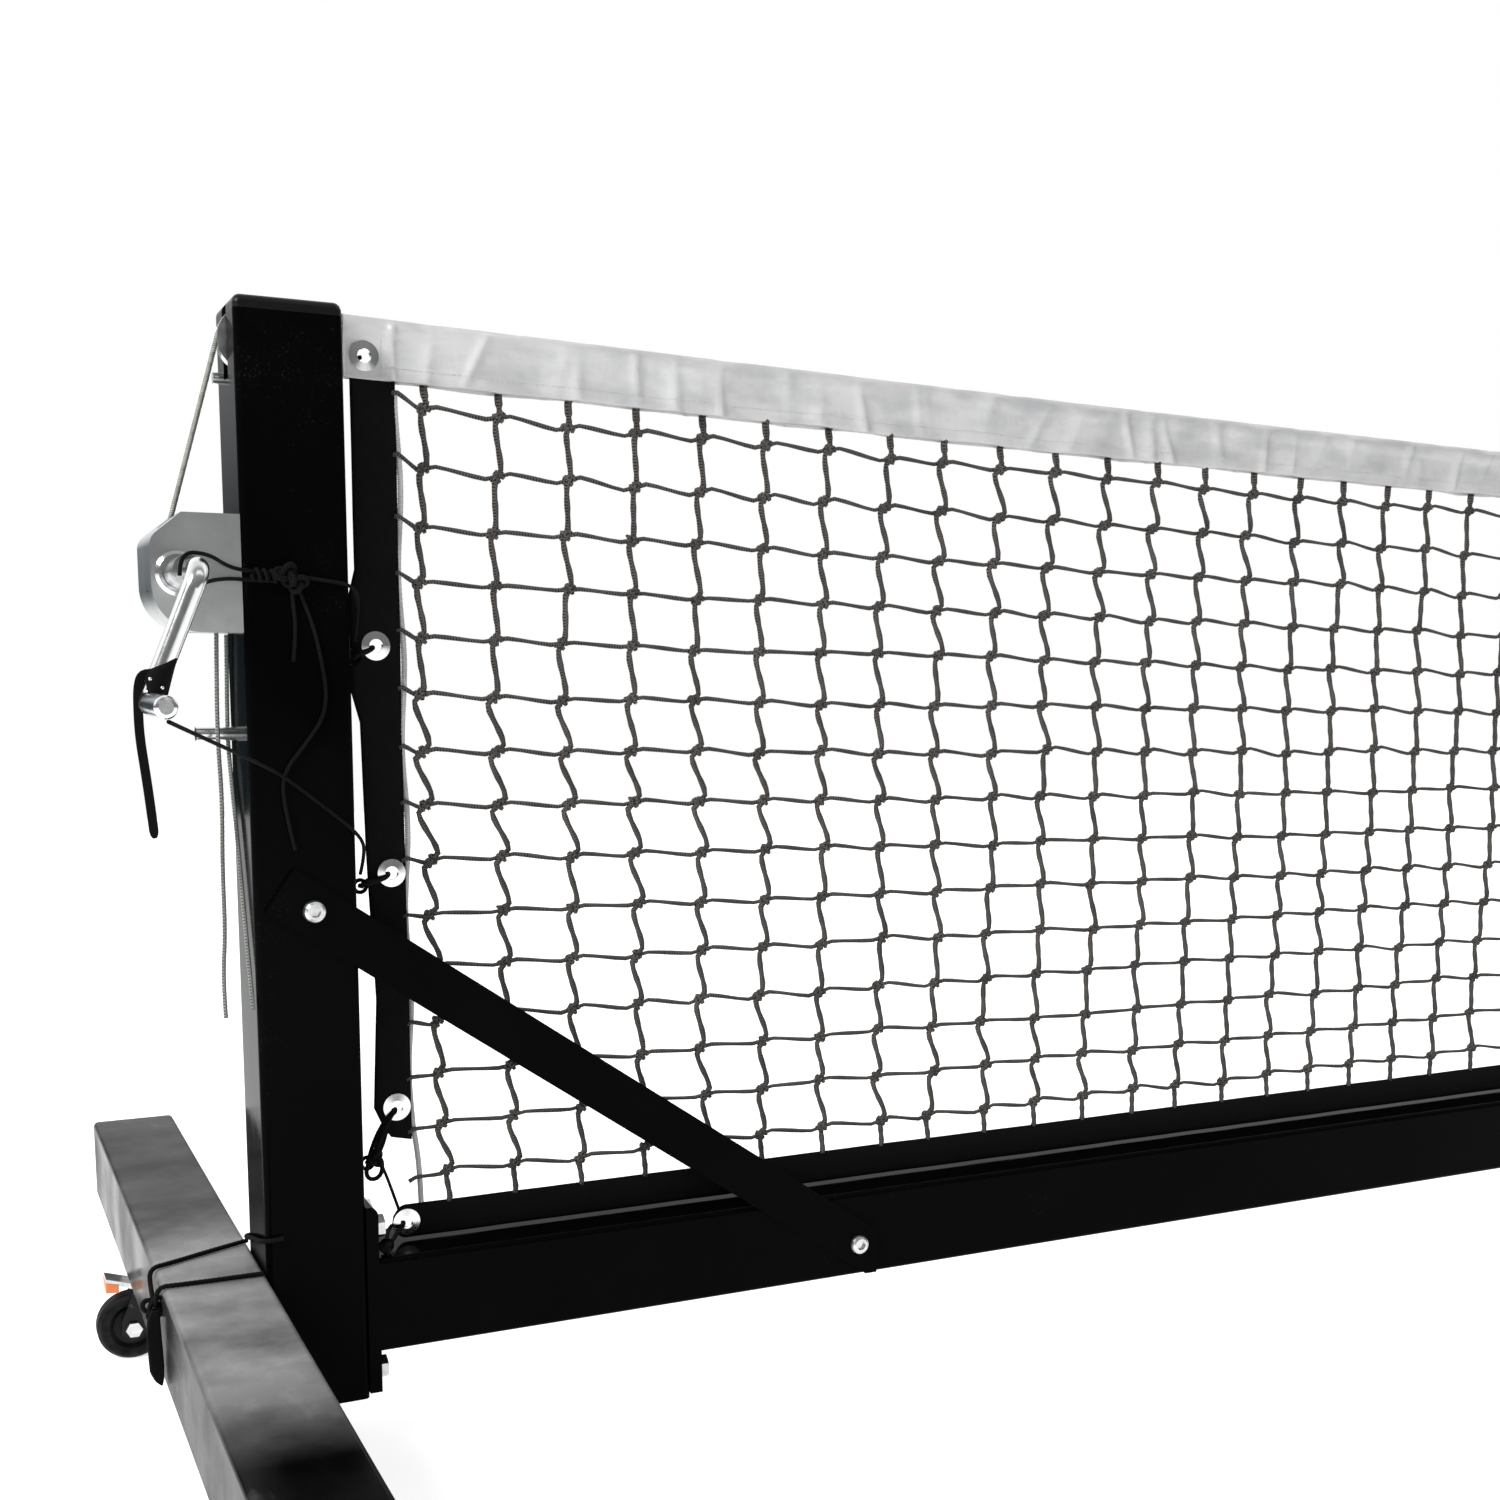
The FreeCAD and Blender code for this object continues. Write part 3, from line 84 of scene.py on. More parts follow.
# ---------------------------------------------------------------- node helpers for materials
class Shader:
    """A material with a Principled surface, and short ways to add procedural nodes to it."""

    def __init__(self, name, color, roughness, metallic=0.0):
        self.material = bpy.data.materials.new(name)
        self.material.use_nodes = True
        self.nodes = self.material.node_tree.nodes
        self.links = self.material.node_tree.links
        self.surface = self.nodes["Principled BSDF"]
        self.set("Base Color", (*color, 1))
        self.set("Roughness", roughness)
        self.set("Metallic", metallic)
        self.coords = self.nodes.new("ShaderNodeTexCoord")

    def set(self, socket, value):
        self.surface.inputs[socket].default_value = value

    def node(self, kind, **inputs):
        made = self.nodes.new(kind)
        for name, value in inputs.items():
            made.inputs[name.replace("_", " ")].default_value = value
        return made

    def join(self, out, into):
        self.links.new(out, into)

    def placed(self, scale=(1, 1, 1), turn=(0, 0, 0)):
        mapping = self.node("ShaderNodeMapping")
        mapping.inputs["Scale"].default_value = scale
        mapping.inputs["Rotation"].default_value = turn
        self.join(self.coords.outputs["Object"], mapping.inputs["Vector"])
        return mapping.outputs["Vector"]

    def noise(self, scale, detail=3.0, vector=None):
        made = self.node("ShaderNodeTexNoise", Scale=scale, Detail=detail, Roughness=0.55)
        self.join(vector or self.coords.outputs["Object"], made.inputs["Vector"])
        return made.outputs["Fac"]

    def wave(self, scale, vector, direction="X", distortion=0.0):
        made = self.node("ShaderNodeTexWave", Scale=scale, Distortion=distortion)
        made.bands_direction = direction
        self.join(vector, made.inputs["Vector"])
        return made.outputs["Fac"]

    def math(self, operation, a, b=0.5):
        made = self.nodes.new("ShaderNodeMath")
        made.operation = operation
        for value, socket in ((a, made.inputs[0]), (b, made.inputs[1])):
            if isinstance(value, (int, float)):
                socket.default_value = value
            else:
                self.join(value, socket)
        return made.outputs[0]

    def ramp(self, value, low, high, start=0.0, end=1.0):
        """Maps value between two numbers or two colours."""
        made = self.nodes.new("ShaderNodeValToRGB")
        stops = made.color_ramp.elements
        for stop, place, shade in ((stops[0], start, low), (stops[1], end, high)):
            stop.position = place
            stop.color = (*shade, 1) if hasattr(shade, "__len__") else (shade, shade, shade, 1)
        self.join(value, made.inputs["Fac"])
        return made.outputs["Color"]

    def mixed(self, fac, a, b):
        """Mixes two colour outputs by fac."""
        made = self.nodes.new("ShaderNodeMix")
        made.data_type = "RGBA"
        self.join(fac, made.inputs["Factor"])
        self.join(a, made.inputs["A"])
        self.join(b, made.inputs["B"])
        return made.outputs["Result"]

    def into(self, socket, out):
        self.join(out, self.surface.inputs[socket])

    def bump(self, height, distance, strength=1.0):
        made = self.node("ShaderNodeBump", Strength=strength, Distance=distance)
        self.join(height, made.inputs["Height"])
        self.join(made.outputs["Normal"], self.surface.inputs["Normal"])
        return self


# ---------------------------------------------------------------- materials
def black_paint():
    """Gloss black enamel on steel tube, with handling marks and a fine orange peel."""
    s = Shader("black_paint", (0.0012, 0.0012, 0.0014), 0.12)
    s.set("Specular IOR Level", 0.016)
    marks = s.noise(9, 6)
    smears = s.noise(26, 5, s.placed((1, 1, 0.25)))
    s.into("Roughness", s.ramp(s.math("MULTIPLY", marks, smears), 0.06, 0.26, 0.16, 0.5))
    specks = s.noise(420, 2)
    dust = s.ramp(s.math("MULTIPLY", specks, marks), 0.0, 1.0, 0.38, 0.48)
    s.into("Base Color", s.mixed(dust, s.ramp(marks, (0.0008, 0.0008, 0.001), (0.0022, 0.0022, 0.0024)),
                                 s.ramp(specks, (0.001, 0.001, 0.001), (0.012, 0.012, 0.012))))
    return s.bump(s.noise(260, 2), 0.0002, 0.06).material


def foot_paint():
    """The same enamel where shoes go past it: clouded by shoes and dust, most beside the post, where a
    light layer of dust is mixed with a painted reflection that is strongest on its top faces.
    """
    s = Shader("foot_paint", (0.002, 0.002, 0.002), 0.16)
    s.set("Specular IOR Level", 0.015)
    clouds = s.noise(9, 6)
    scuffs = s.noise(60, 6, s.placed((1, 0.35, 1)))
    place = s.nodes.new("ShaderNodeSeparateXYZ")
    s.join(s.coords.outputs["Object"], place.inputs[0])
    facing = s.nodes.new("ShaderNodeSeparateXYZ")
    s.join(s.nodes.new("ShaderNodeNewGeometry").outputs["Normal"], facing.inputs[0])
    # painted reflection: the light layer below is kept off the front, raised beside the post and on upward
    # faces, and stands in for the glossy top's reflection as well as real dust
    from_front = s.ramp(s.math("ADD", place.outputs["Y"], 1.0), 0.02, 1.0, 0.62, 0.78)
    dust_and_sheen_reach = s.math("MULTIPLY", from_front, s.ramp(place.outputs["Y"], 1.0, 0.34, 0.02, 0.18))
    top_dust_and_sheen = s.math("MULTIPLY", dust_and_sheen_reach, s.math("MAXIMUM", facing.outputs["Z"], 0.06))
    dust_and_sheen = s.math("MULTIPLY", s.math("MULTIPLY", top_dust_and_sheen, s.ramp(clouds, 0.35, 1.0, 0.35, 0.6)), 0.27)
    worn = s.math("MULTIPLY", s.ramp(s.math("MULTIPLY", clouds, scuffs), 0.0, 1.0, 0.3, 0.42), 0.03)
    s.into("Base Color", s.math("ADD", dust_and_sheen, worn))
    s.into("Roughness", s.ramp(clouds, 0.1, 0.34, 0.3, 0.7))
    return s.bump(s.noise(200, 3), 0.0002, 0.08).material


def moulded_black():
    s = Shader("moulded_black", (0.004, 0.004, 0.0045), 0.34)
    s.set("Specular IOR Level", 0.2)
    s.into("Roughness", s.ramp(s.noise(30, 4), 0.26, 0.42))
    return s.bump(s.noise(900, 2), 0.0001, 0.25).material


def fork_paint():
    s = Shader("fork_paint", (0.004, 0.004, 0.0045), 0.3)
    s.set("Specular IOR Level", 0.2)
    wear = s.ramp(s.noise(140, 5), 0.0, 1.0, 0.62, 0.7)
    s.into("Base Color", s.mixed(wear, s.ramp(s.noise(20), (0.002, 0.002, 0.002), (0.005, 0.005, 0.005)),
                                 s.ramp(s.noise(70), (0.03, 0.03, 0.03), (0.16, 0.155, 0.15))))
    return s.bump(s.noise(500, 2), 0.0001, 0.2).material


def zinc():
    """Bright zinc plate with a faint mottle."""
    s = Shader("zinc", (0.66, 0.67, 0.67), 0.3, 1.0)
    mottle = s.noise(120, 4)
    s.into("Base Color", s.ramp(mottle, (0.5, 0.51, 0.52), (0.78, 0.78, 0.77), 0.3, 0.7))
    s.into("Roughness", s.ramp(s.noise(60, 5), 0.2, 0.42))
    return s.bump(s.noise(700, 3), 0.0001, 0.25).material


def polished():
    s = Shader("polished_steel", (0.74, 0.75, 0.76), 0.14, 1.0)
    s.into("Roughness", s.ramp(s.noise(90, 5), 0.08, 0.26))
    s.into("Base Color", s.ramp(s.noise(35, 4), (0.6, 0.61, 0.62), (0.82, 0.82, 0.82)))
    return s.bump(s.noise(1200, 2), 0.0001, 0.08).material


def winch_sheet():
    """Folded sheet steel with a fine rolling grain, bright enough to mirror what is round it."""
    s = Shader("winch_sheet", (0.5, 0.51, 0.51), 0.2, 1.0)
    grain = s.noise(380, 4, s.placed((1, 0.04, 1)))
    stain = s.noise(22, 5)
    s.into("Base Color", s.ramp(stain, (0.4, 0.41, 0.41), (0.62, 0.63, 0.63), 0.25, 0.75))
    s.into("Roughness", s.ramp(s.math("ADD", grain, stain), 0.1, 0.3, 0.3, 0.75))
    return s.bump(grain, 0.0001, 0.12).material


def tread():
    """Black rubber, a little greyed where it rolls."""
    s = Shader("tread", (0.006, 0.006, 0.006), 0.6)
    s.set("Specular IOR Level", 0.15)
    s.into("Base Color", s.ramp(s.noise(70, 6), (0.001, 0.001, 0.001), (0.02, 0.021, 0.021), 0.35, 0.75))
    s.into("Roughness", s.ramp(s.noise(160, 3), 0.5, 0.8))
    return s.bump(s.noise(520, 4), 0.0002, 0.4).material


def hub_plastic():
    s = Shader("hub_plastic", (0.0015, 0.0015, 0.0015), 0.42)
    s.set("Specular IOR Level", 0.15)
    s.into("Roughness", s.ramp(s.noise(80, 4), 0.3, 0.55))
    return s.bump(s.noise(700, 2), 0.0001, 0.3).material


def orange_plastic():
    s = Shader("orange_plastic", (0.86, 0.22, 0.05), 0.36)
    s.set("Subsurface Weight", 0.08)
    s.into("Base Color", s.ramp(s.noise(90, 4), (0.72, 0.16, 0.035), (0.9, 0.27, 0.07)))
    return s.bump(s.noise(600, 2), 0.0001, 0.3).material


def webbing():
    """Black woven webbing: fine crosswise ribs over a lengthwise yarn."""
    s = Shader("webbing", (0.002, 0.002, 0.002), 0.78)
    s.set("Specular IOR Level", 0.1)
    s.set("Sheen Weight", 0.02)
    s.set("Sheen Roughness", 0.5)
    ribs = s.wave(420, s.coords.outputs["Object"], "Z")
    yarn = s.wave(300, s.coords.outputs["Object"], "X", 1.0)
    weave = s.math("MULTIPLY", ribs, yarn)
    s.into("Base Color", s.ramp(weave, (0.0008, 0.0008, 0.0008), (0.005, 0.005, 0.0052)))
    s.into("Roughness", s.ramp(s.noise(40, 4), 0.66, 0.9))
    return s.bump(weave, 0.0003, 0.5).material


def vinyl():
    """White coated cloth: a faint weave under the coat, grey handling marks and soft creases."""
    s = Shader("white_vinyl", (0.74, 0.74, 0.74), 0.3)
    s.set("Subsurface Weight", 0.1)
    s.set("Subsurface Scale", 0.003)
    s.set("Coat Weight", 0.3)
    s.set("Coat Roughness", 0.2)
    clouds = s.noise(14, 6, s.placed((1, 1, 2.2)))
    grime = s.noise(55, 5, s.placed((0.4, 1, 1)))
    s.into("Base Color", s.ramp(s.math("MULTIPLY", clouds, grime),
                                (0.42, 0.425, 0.43), (0.57, 0.57, 0.57), 0.12, 0.3))
    s.into("Roughness", s.ramp(clouds, 0.3, 0.5))
    creases = s.noise(38, 5, s.placed((1, 1, 0.7)))
    weave = s.math("MULTIPLY", s.wave(700, s.coords.outputs["Object"], "X"),
                   s.wave(700, s.coords.outputs["Object"], "Z"))
    height = s.math("ADD", creases, s.math("MULTIPLY", weave, 0.05))
    return s.bump(height, 0.003, 0.6).material


def braid(name, dark, light, pitch, roughness=0.8, sheen=0.25):
    """Braided cord: two sets of slanted strands, in the cord's own length and angle coordinates."""
    s = Shader(name, light, roughness)
    s.set("Specular IOR Level", 0.1)
    s.set("Sheen Weight", sheen)
    lengths = s.nodes.new("ShaderNodeUVMap")
    lengths.uv_map = "cord"
    slants = []
    for turn in (1, -1):
        mapping = s.node("ShaderNodeMapping")
        mapping.inputs["Scale"].default_value = (1 / pitch, turn, 1)
        s.join(lengths.outputs["UV"], mapping.inputs["Vector"])
        slants.append(s.wave(1.0, mapping.outputs["Vector"], "DIAGONAL", 0.6))
    strands = s.math("MAXIMUM", *slants)
    patches = s.noise(30, 5)
    s.into("Base Color", s.mixed(s.ramp(patches, 0.0, 1.0, 0.35, 0.65),
                                 s.ramp(strands, dark, [0.6 * c for c in light], 0.2, 0.9),
                                 s.ramp(strands, dark, light, 0.2, 0.9)))
    fuzz = s.noise(1500, 2)
    return s.bump(s.math("ADD", strands, s.math("MULTIPLY", fuzz, 0.4)), 0.0006, 0.6).material


def mottled_cable():
    """Weathered stranded cable, grey with a green cast."""
    s = Shader("mottled_cable", (0.35, 0.37, 0.33), 0.5, 0.4)
    strands = s.wave(260, s.placed((1, 1, 1), (0, 0.6, 0)), "DIAGONAL", 0.5)
    spots = s.noise(240, 4)
    s.into("Base Color", s.ramp(s.math("MULTIPLY", strands, spots),
                                (0.07, 0.08, 0.07), (0.55, 0.57, 0.5), 0.1, 0.5))
    return s.bump(strands, 0.0005, 0.7).material


MATERIALS = {
    "black_paint": black_paint(), "foot_paint": foot_paint(), "black_plastic": moulded_black(),
    "fork_black": fork_paint(), "zinc_steel": zinc(), "polished_steel": polished(),
    "pulley_steel": zinc(), "winch_steel": winch_sheet(), "dark_rubber": tread(),
    "hub_plastic": hub_plastic(), "orange_plastic": orange_plastic(), "black_webbing": webbing(),
    "white_vinyl": vinyl(), "cable_steel": mottled_cable(),
    "net_twine": braid("net_twine", (0.012, 0.011, 0.01), (0.1, 0.092, 0.086), 0.004, 0.85, 0.1),
    "edge_cord": braid("edge_cord", (0.25, 0.25, 0.25), (0.6, 0.6, 0.6), 0.003),
    "thread": braid("thread", (0.5, 0.5, 0.5), (0.82, 0.82, 0.82), 0.002),
    "black_cord": braid("black_cord", (0.001, 0.001, 0.001), (0.006, 0.006, 0.006), 0.003, 0.8, 0.01),
    "grey_rope": braid("grey_rope", (0.05, 0.055, 0.05), (0.3, 0.32, 0.29), 0.004),
}

slot_of = {p["node"]: p["material_slot"] for p in frame["record"]["subparts"]}
for name, obj in frame["nodes"].items():
    look = "foot_paint" if name.endswith("_foot") else slot_of[name]
    obj.data.materials.clear()
    obj.data.materials.append(MATERIALS[look])


# ---------------------------------------------------------------- mesh helpers
def add_piece(name, verts, faces, slot, body="root", replaces=(), uvs=None, look=None):
    """A smooth mesh piece, with its material picked by slot or look, put on its body, and the CAD nodes it
    stands for hidden.
    """
    mesh = bpy.data.meshes.new(name)
    mesh.from_pydata([tuple(v) for v in verts], [], [tuple(f) for f in faces])
    if uvs is not None:
        layer = mesh.uv_layers.new(name="cord")
        corners = np.zeros(len(mesh.loops), int)
        mesh.loops.foreach_get("vertex_index", corners)
        layer.data.foreach_set("uv", np.asarray(uvs, np.float32)[corners].ravel())
    mesh.polygons.foreach_set("use_smooth", [True] * len(mesh.polygons))
    mesh.materials.append(MATERIALS[look or slot])
    mesh.validate()
    obj = bpy.data.objects.new(name, mesh)
    bpy.context.scene.collection.objects.link(obj)
    if body:
        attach(obj, body)
    if replaces:
        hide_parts(*replaces)
    return obj


class Pile:
    """Collects the vertices, faces and cord coordinates of many small shapes into one mesh."""

    def __init__(self):
        self.verts, self.faces, self.uvs, self.count = [], [], [], 0

    def add(self, verts, faces, uvs=None):
        self.verts.append(np.asarray(verts, float))
        self.faces.extend([tuple(i + self.count for i in f) for f in faces])
        self.uvs.append(np.zeros((len(verts), 2)) if uvs is None else np.asarray(uvs, float))
        self.count += len(verts)

    def piece(self, name, slot, **options):
        return add_piece(name, np.concatenate(self.verts), self.faces, slot,
                         uvs=np.concatenate(self.uvs), **options)


def frames_along(points):
    """Two steady normals at each point of a line."""
    steps = np.gradient(points, axis=0)
    tangents = steps / np.linalg.norm(steps, axis=1)[:, None]
    first = np.cross(tangents[0], (0.3, 1.0, 0.2))
    normals = [first / np.linalg.norm(first)]
    for tangent in tangents[1:]:
        n = normals[-1] - tangent * (normals[-1] @ tangent)
        normals.append(n / np.linalg.norm(n))
    normals = np.array(normals)
    return normals, np.cross(tangents, normals)


def sweep(points, radius, sides=8, lobes=0, pitch=0.01, depth=0.14, closed=False):
    """A tube along points; with lobes it is laid up like rope, in strands that twist once every pitch."""
    points = np.asarray(points, float)
    radii = np.broadcast_to(np.asarray(radius, float), (len(points),))
    side_a, side_b = frames_along(points)
    along = np.concatenate([[0], np.cumsum(np.linalg.norm(np.diff(points, axis=0), axis=1))])
    angles = np.arange(sides) * 2 * math.pi / sides
    swell = np.ones((len(points), sides))
    if lobes:
        phase = lobes / 2 * (angles[None, :] + 2 * math.pi * along[:, None] / pitch)
        swell = 1 - depth + depth * np.abs(np.cos(phase))
    ring = radii[:, None] * swell
    verts = (points[:, None, :] + ring[..., None] * (np.cos(angles)[None, :, None] * side_a[:, None, :]
             + np.sin(angles)[None, :, None] * side_b[:, None, :])).reshape(-1, 3)
    uvs = np.stack(np.broadcast_arrays(along[:, None], angles[None, :] / (2 * math.pi)), -1).reshape(-1, 2)
    rings = len(points)
    faces = []
    for i in range(rings if closed else rings - 1):
        a, b = i * sides, (i + 1) % rings * sides
        faces += [(a + k, a + (k + 1) % sides, b + (k + 1) % sides, b + k) for k in range(sides)]
    if not closed:
        faces.append(tuple(range(sides - 1, -1, -1)))
        faces.append(tuple(range((rings - 1) * sides, rings * sides)))
    return verts, faces, uvs


def smooth_line(route):
    """Points along the spline that a route in millimetres controls, in metres."""
    curve = bpy.data.curves.new("route", "CURVE")
    curve.dimensions = "3D"
    curve.resolution_u = 14
    spline = curve.splines.new("NURBS")
    spline.points.add(len(route) - 1)
    for point, place in zip(spline.points, route):
        point.co = (*(c * MM for c in place), 1)
    spline.order_u = 3
    spline.use_endpoint_u = True
    holder = bpy.data.objects.new("route", curve)
    mesh = bpy.data.meshes.new_from_object(holder)
    points = np.array([v.co for v in mesh.vertices])
    bpy.data.objects.remove(holder)
    bpy.data.curves.remove(curve)
    bpy.data.meshes.remove(mesh)
    return points


def evenly(points, step):
    """The same line with points an even step apart."""
    along = np.concatenate([[0], np.cumsum(np.linalg.norm(np.diff(points, axis=0), axis=1))])
    count = max(3, int(round(along[-1] / step)) + 1)
    targets = np.linspace(0, along[-1], count)
    return np.stack([np.interp(targets, along, points[:, k]) for k in range(3)], 1)


# ---------------------------------------------------------------- free cords
# The routes are lists of points (x, y, z) in millimetres, as in the CAD model.
TAIL_HANGING = [
    (-3447, 0, 674), (-3448, 1, 640), (-3449, 2, 590), (-3447.5, 0, 540), (-3449.5, -1, 488),
    (-3449, 0, 436), (-3452, 1, 400), (-3451, 0, 368),
]
TAIL_ON_POST = [
    (-3436, 24, 668), (-3436, 27, 645), (-3436, 33, 612), (-3436, 35, 584), (-3436, 26, 556),
    (-3436, 10, 518), (-3436, -6, 472), (-3436, -21, 426), (-3436, -38, 380),
]
HUB_TIE = [
    (-3489.5, -124, 706), (-3489.5, -125, 722), (-3470, -122, 722), (-3446, -58, 716.2),
    (-3430, -44, 714.4), (-3404, -43, 711.6),
]
HUB_TIE_LOW = [
    (-3476, -124, 700.6), (-3467.5, -112, 704), (-3445, -58, 708), (-3430, -44, 707.8), (-3408, -43, 707.6),
]
HUB_TIE_TAIL = [
    (-3396, -43, 709), (-3386, -42.6, 688), (-3377.5, -42.6, 656), (-3372, -42.6, 612), (-3391, -42.6, 585),
    (-3409, -42.6, 563), (-3408, -42.6, 536), (-3401, -42.6, 504),
]
HUB_TIE_ACROSS = [
    (-3392, -43, 711.4), (-3370, -43, 709), (-3350, -45, 705.5), (-3344, -30, 690), (-3344.5, -14, 664),
]
CRANK_TIE = [
    (-3514.5, -228, 609.6), (-3503, -206, 604.5), (-3422, -56, 569), (-3404, -43, 558), (-3372, -43, 532),
    (-3350, -45, 513), (-3344, -30, 498), (-3344.5, -14, 480),
]
LASH_REAR = [
    (-3434, 44, 168), (-3462, 33, 167.5), (-3500, 14, 167.5), (-3517, 6, 168), (-3517.5, -3, 155),
    (-3517.5, -20, 147.5),
]
LASH_FRONT = [
    (-3436, -41, 167.5), (-3466, -41, 167.5), (-3500, -40, 167.5), (-3517, -40, 168), (-3517.5, -35.5, 150),
    (-3517.5, -28, 140),
]
LASH_POST = [
    (-3420, 43.5, 172), (-3431, 43.8, 173), (-3437, 36, 174.5), (-3437, 0, 184), (-3437, -36, 192.5),
    (-3431, -43.8, 194), (-3420, -43.5, 195),
]


LAY_STEP = 0.0008                                   # spacing of a laid cord's rings
TIE_PITCH = 0.009                                   # twist of the thin ties' strands
ROPE, TIE, LASH = 1.75, 1.5, 2.0                    # radii in millimetres


def free_cord(name, route, radius, slot, replaces=(), held=None):
    """A laid cord along a route.

    held, when given, leaves the cord on no body with its placement baked into the mesh; the points it lists
    are not used.
    """
    line = evenly(smooth_line(route), LAY_STEP)
    verts, faces, uvs = sweep(line, radius * MM, 12, lobes=3, pitch=0.011)
    piece = add_piece(name, verts, faces, slot, uvs=uvs, replaces=replaces, body=None if held else "root")
    if held:
        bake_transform(piece)


free_cord("rope_tail_hanging", TAIL_HANGING, ROPE, "grey_rope", ["rope_tails"])
free_cord("rope_tail_on_post", TAIL_ON_POST, ROPE, "grey_rope")
free_cord("hub_tie", HUB_TIE, TIE, "black_cord", ["tie_cords"],
          held=(HUB_TIE[2], HUB_TIE[4]))
free_cord("hub_tie_low", HUB_TIE_LOW, TIE, "black_cord",
          held=(HUB_TIE_LOW[1], HUB_TIE_LOW[3]))
free_cord("hub_tie_tail", HUB_TIE_TAIL, TIE, "black_cord")
free_cord("hub_tie_across", HUB_TIE_ACROSS, TIE, "black_cord")
free_cord("crank_tie", CRANK_TIE, TIE, "black_cord", held=(CRANK_TIE[0], CRANK_TIE[3]))
free_cord("lashing_rear", LASH_REAR, LASH, "black_cord", ["foot_lashing"])
free_cord("lashing_front", LASH_FRONT, LASH, "black_cord")
free_cord("lashing_on_post", LASH_POST, LASH, "black_cord")


# ---------------------------------------------------------------- knots
def add_tie(pile, stops, radius):
    """A short tied cord through stops in millimetres."""
    pile.add(*sweep(evenly(smooth_line(stops), 0.001), radius * MM, 10, lobes=3, pitch=TIE_PITCH))


def add_knot(pile, centre, size, radius, turn=0.0):
    """An overhand knot drawn tight round a centre: a cord's three-lobed loop. All sizes in millimetres."""
    t = np.linspace(0, 2 * math.pi, 73)[:-1]
    loop = np.stack([np.sin(t) + 2 * np.sin(2 * t), 0.9 * np.sin(3 * t), np.cos(t) - 2 * np.cos(2 * t)], 1)
    c, s = math.cos(turn), math.sin(turn)
    spun = loop * size / 6 @ np.array([[c, 0, s], [0, 1, 0], [-s, 0, c]])
    pile.add(*sweep((np.array(centre) + spun) * MM, radius * MM, 8, closed=True))


def hub_hitch():
    """The turns and knots on the front of the post that gather the ties from the crank."""
    pile = Pile()
    t = np.linspace(0, 1, 140)
    angle = 2 * math.pi * 8 * t
    coil = np.stack([-3447 + 44 * t, -45.6 + 2.6 * np.cos(angle), 713.5 - 3 * t + 4 * np.sin(angle)], 1)
    coil[:, 1] = np.minimum(coil[:, 1], -42.2)
    pile.add(*sweep(coil[coil[:, 0] > -3428] * MM, TIE * MM, 8, lobes=3, pitch=TIE_PITCH))
    add_knot(pile, (-3402, -47, 712.5), 17, 2.2, 0.4)
    add_knot(pile, (-3394, -46.5, 707), 15, 2.0, 1.7)
    add_tie(pile, [(-3398, -44, 706), (-3397, -42.8, 692), (-3395, -42.6, 672), (-3398, -42.6, 648)], TIE)
    pile.piece("hub_tie_knot", "black_cord")


def lashing_knot():
    pile = Pile()
    add_knot(pile, (-3518.5, -29, 149), 17, 2.0, 0.3)
    add_knot(pile, (-3519, -34, 146), 12, 1.8, 1.4)
    pile.piece("lashing_knot", "black_cord")


hub_hitch()
lashing_knot()


# ---------------------------------------------------------------- the net's own arc
band_low, band_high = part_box("headband")
HALF = band_high.x                                  # half the headband's length
END_TOP = band_high.z                               # top of the band at its ends
MID_TOP = 0.864                                     # and in its middle


def net_top(x):
    """Height of the net's top edge at a distance from the middle."""
    return MID_TOP + (END_TOP - MID_TOP) * (np.asarray(x) / HALF) ** 2


# ---------------------------------------------------------------- knotted net
STRAP_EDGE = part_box("side_straps")[1].x - 0.036     # the straps' inner edges
FIRST_COLUMN = 3.284                                # the end columns, from the middle
COLUMNS = 109
ROWS = 15
LOW_ROW = 0.219
HIGH_ROW_DEPTH = 0.067                              # below the net's top
HUNG_DEPTH = 0.046                                  # where the net goes up into the band
BAND_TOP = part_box("bottom_band")[1].z


def net_knots():
    """Places of the knots, rows by columns, a little uneven as in a hand-tied net."""
    x = np.linspace(-FIRST_COLUMN, FIRST_COLUMN, COLUMNS)
    share = 1 - np.arange(ROWS)[:, None] / (ROWS - 1)
    z = LOW_ROW + (net_top(x)[None, :] - HIGH_ROW_DEPTH - LOW_ROW) * share
    knots = np.stack([np.broadcast_to(x, z.shape), np.zeros_like(z), z], -1)
    slack = np.sin(np.arange(ROWS)[:, None] * 0.55 + x[None, :] * 1.3) * 0.003
    drawn_in = np.interp(np.arange(ROWS)[::-1, None], [0, 1, 2, 3], [0.0105, 0.008, 0.003, 0])
    knots[..., 0] += rng.normal(0, 0.0016, z.shape) + slack
    knots[..., 0] -= np.sign(x) * drawn_in * np.clip(np.abs(x) - 2.2, 0, 1)
    knots[..., 1] += rng.normal(0, 0.0012, z.shape)
    knots[..., 2] += rng.normal(0, 0.0012, z.shape)
    return knots


def strand(start, end, sweep_x, sweep_y, sweep_z, steps):
    """One mesh side between two knots: it leaves a knot on one side and meets the next from the other."""
    t = np.linspace(0, 1, steps + 1)[:, None]
    ease = np.minimum(1, 2.4 * np.sin(math.pi * t))
    side = np.array([sweep_x, sweep_y, sweep_z])
    return start + (end - start) * t - side * np.cos(math.pi * t) * ease


def knot_wrap(tilt, turn):
    """Points of the twine's turns round one knot."""
    t = np.linspace(0, 1, 16)
    angle = 2 * math.pi * (2.25 * t + turn)
    tuck = 0.25 + 0.75 * np.sin(math.pi * t)
    wrap = np.stack([(t - 0.5) * 0.0105, 0.0036 * tuck * np.cos(angle), 0.0038 * tuck * np.sin(angle)], 1)
    c, s = math.cos(tilt), math.sin(tilt)
    return wrap @ np.array([[c, 0, s], [0, 1, 0], [-s, 0, c]])


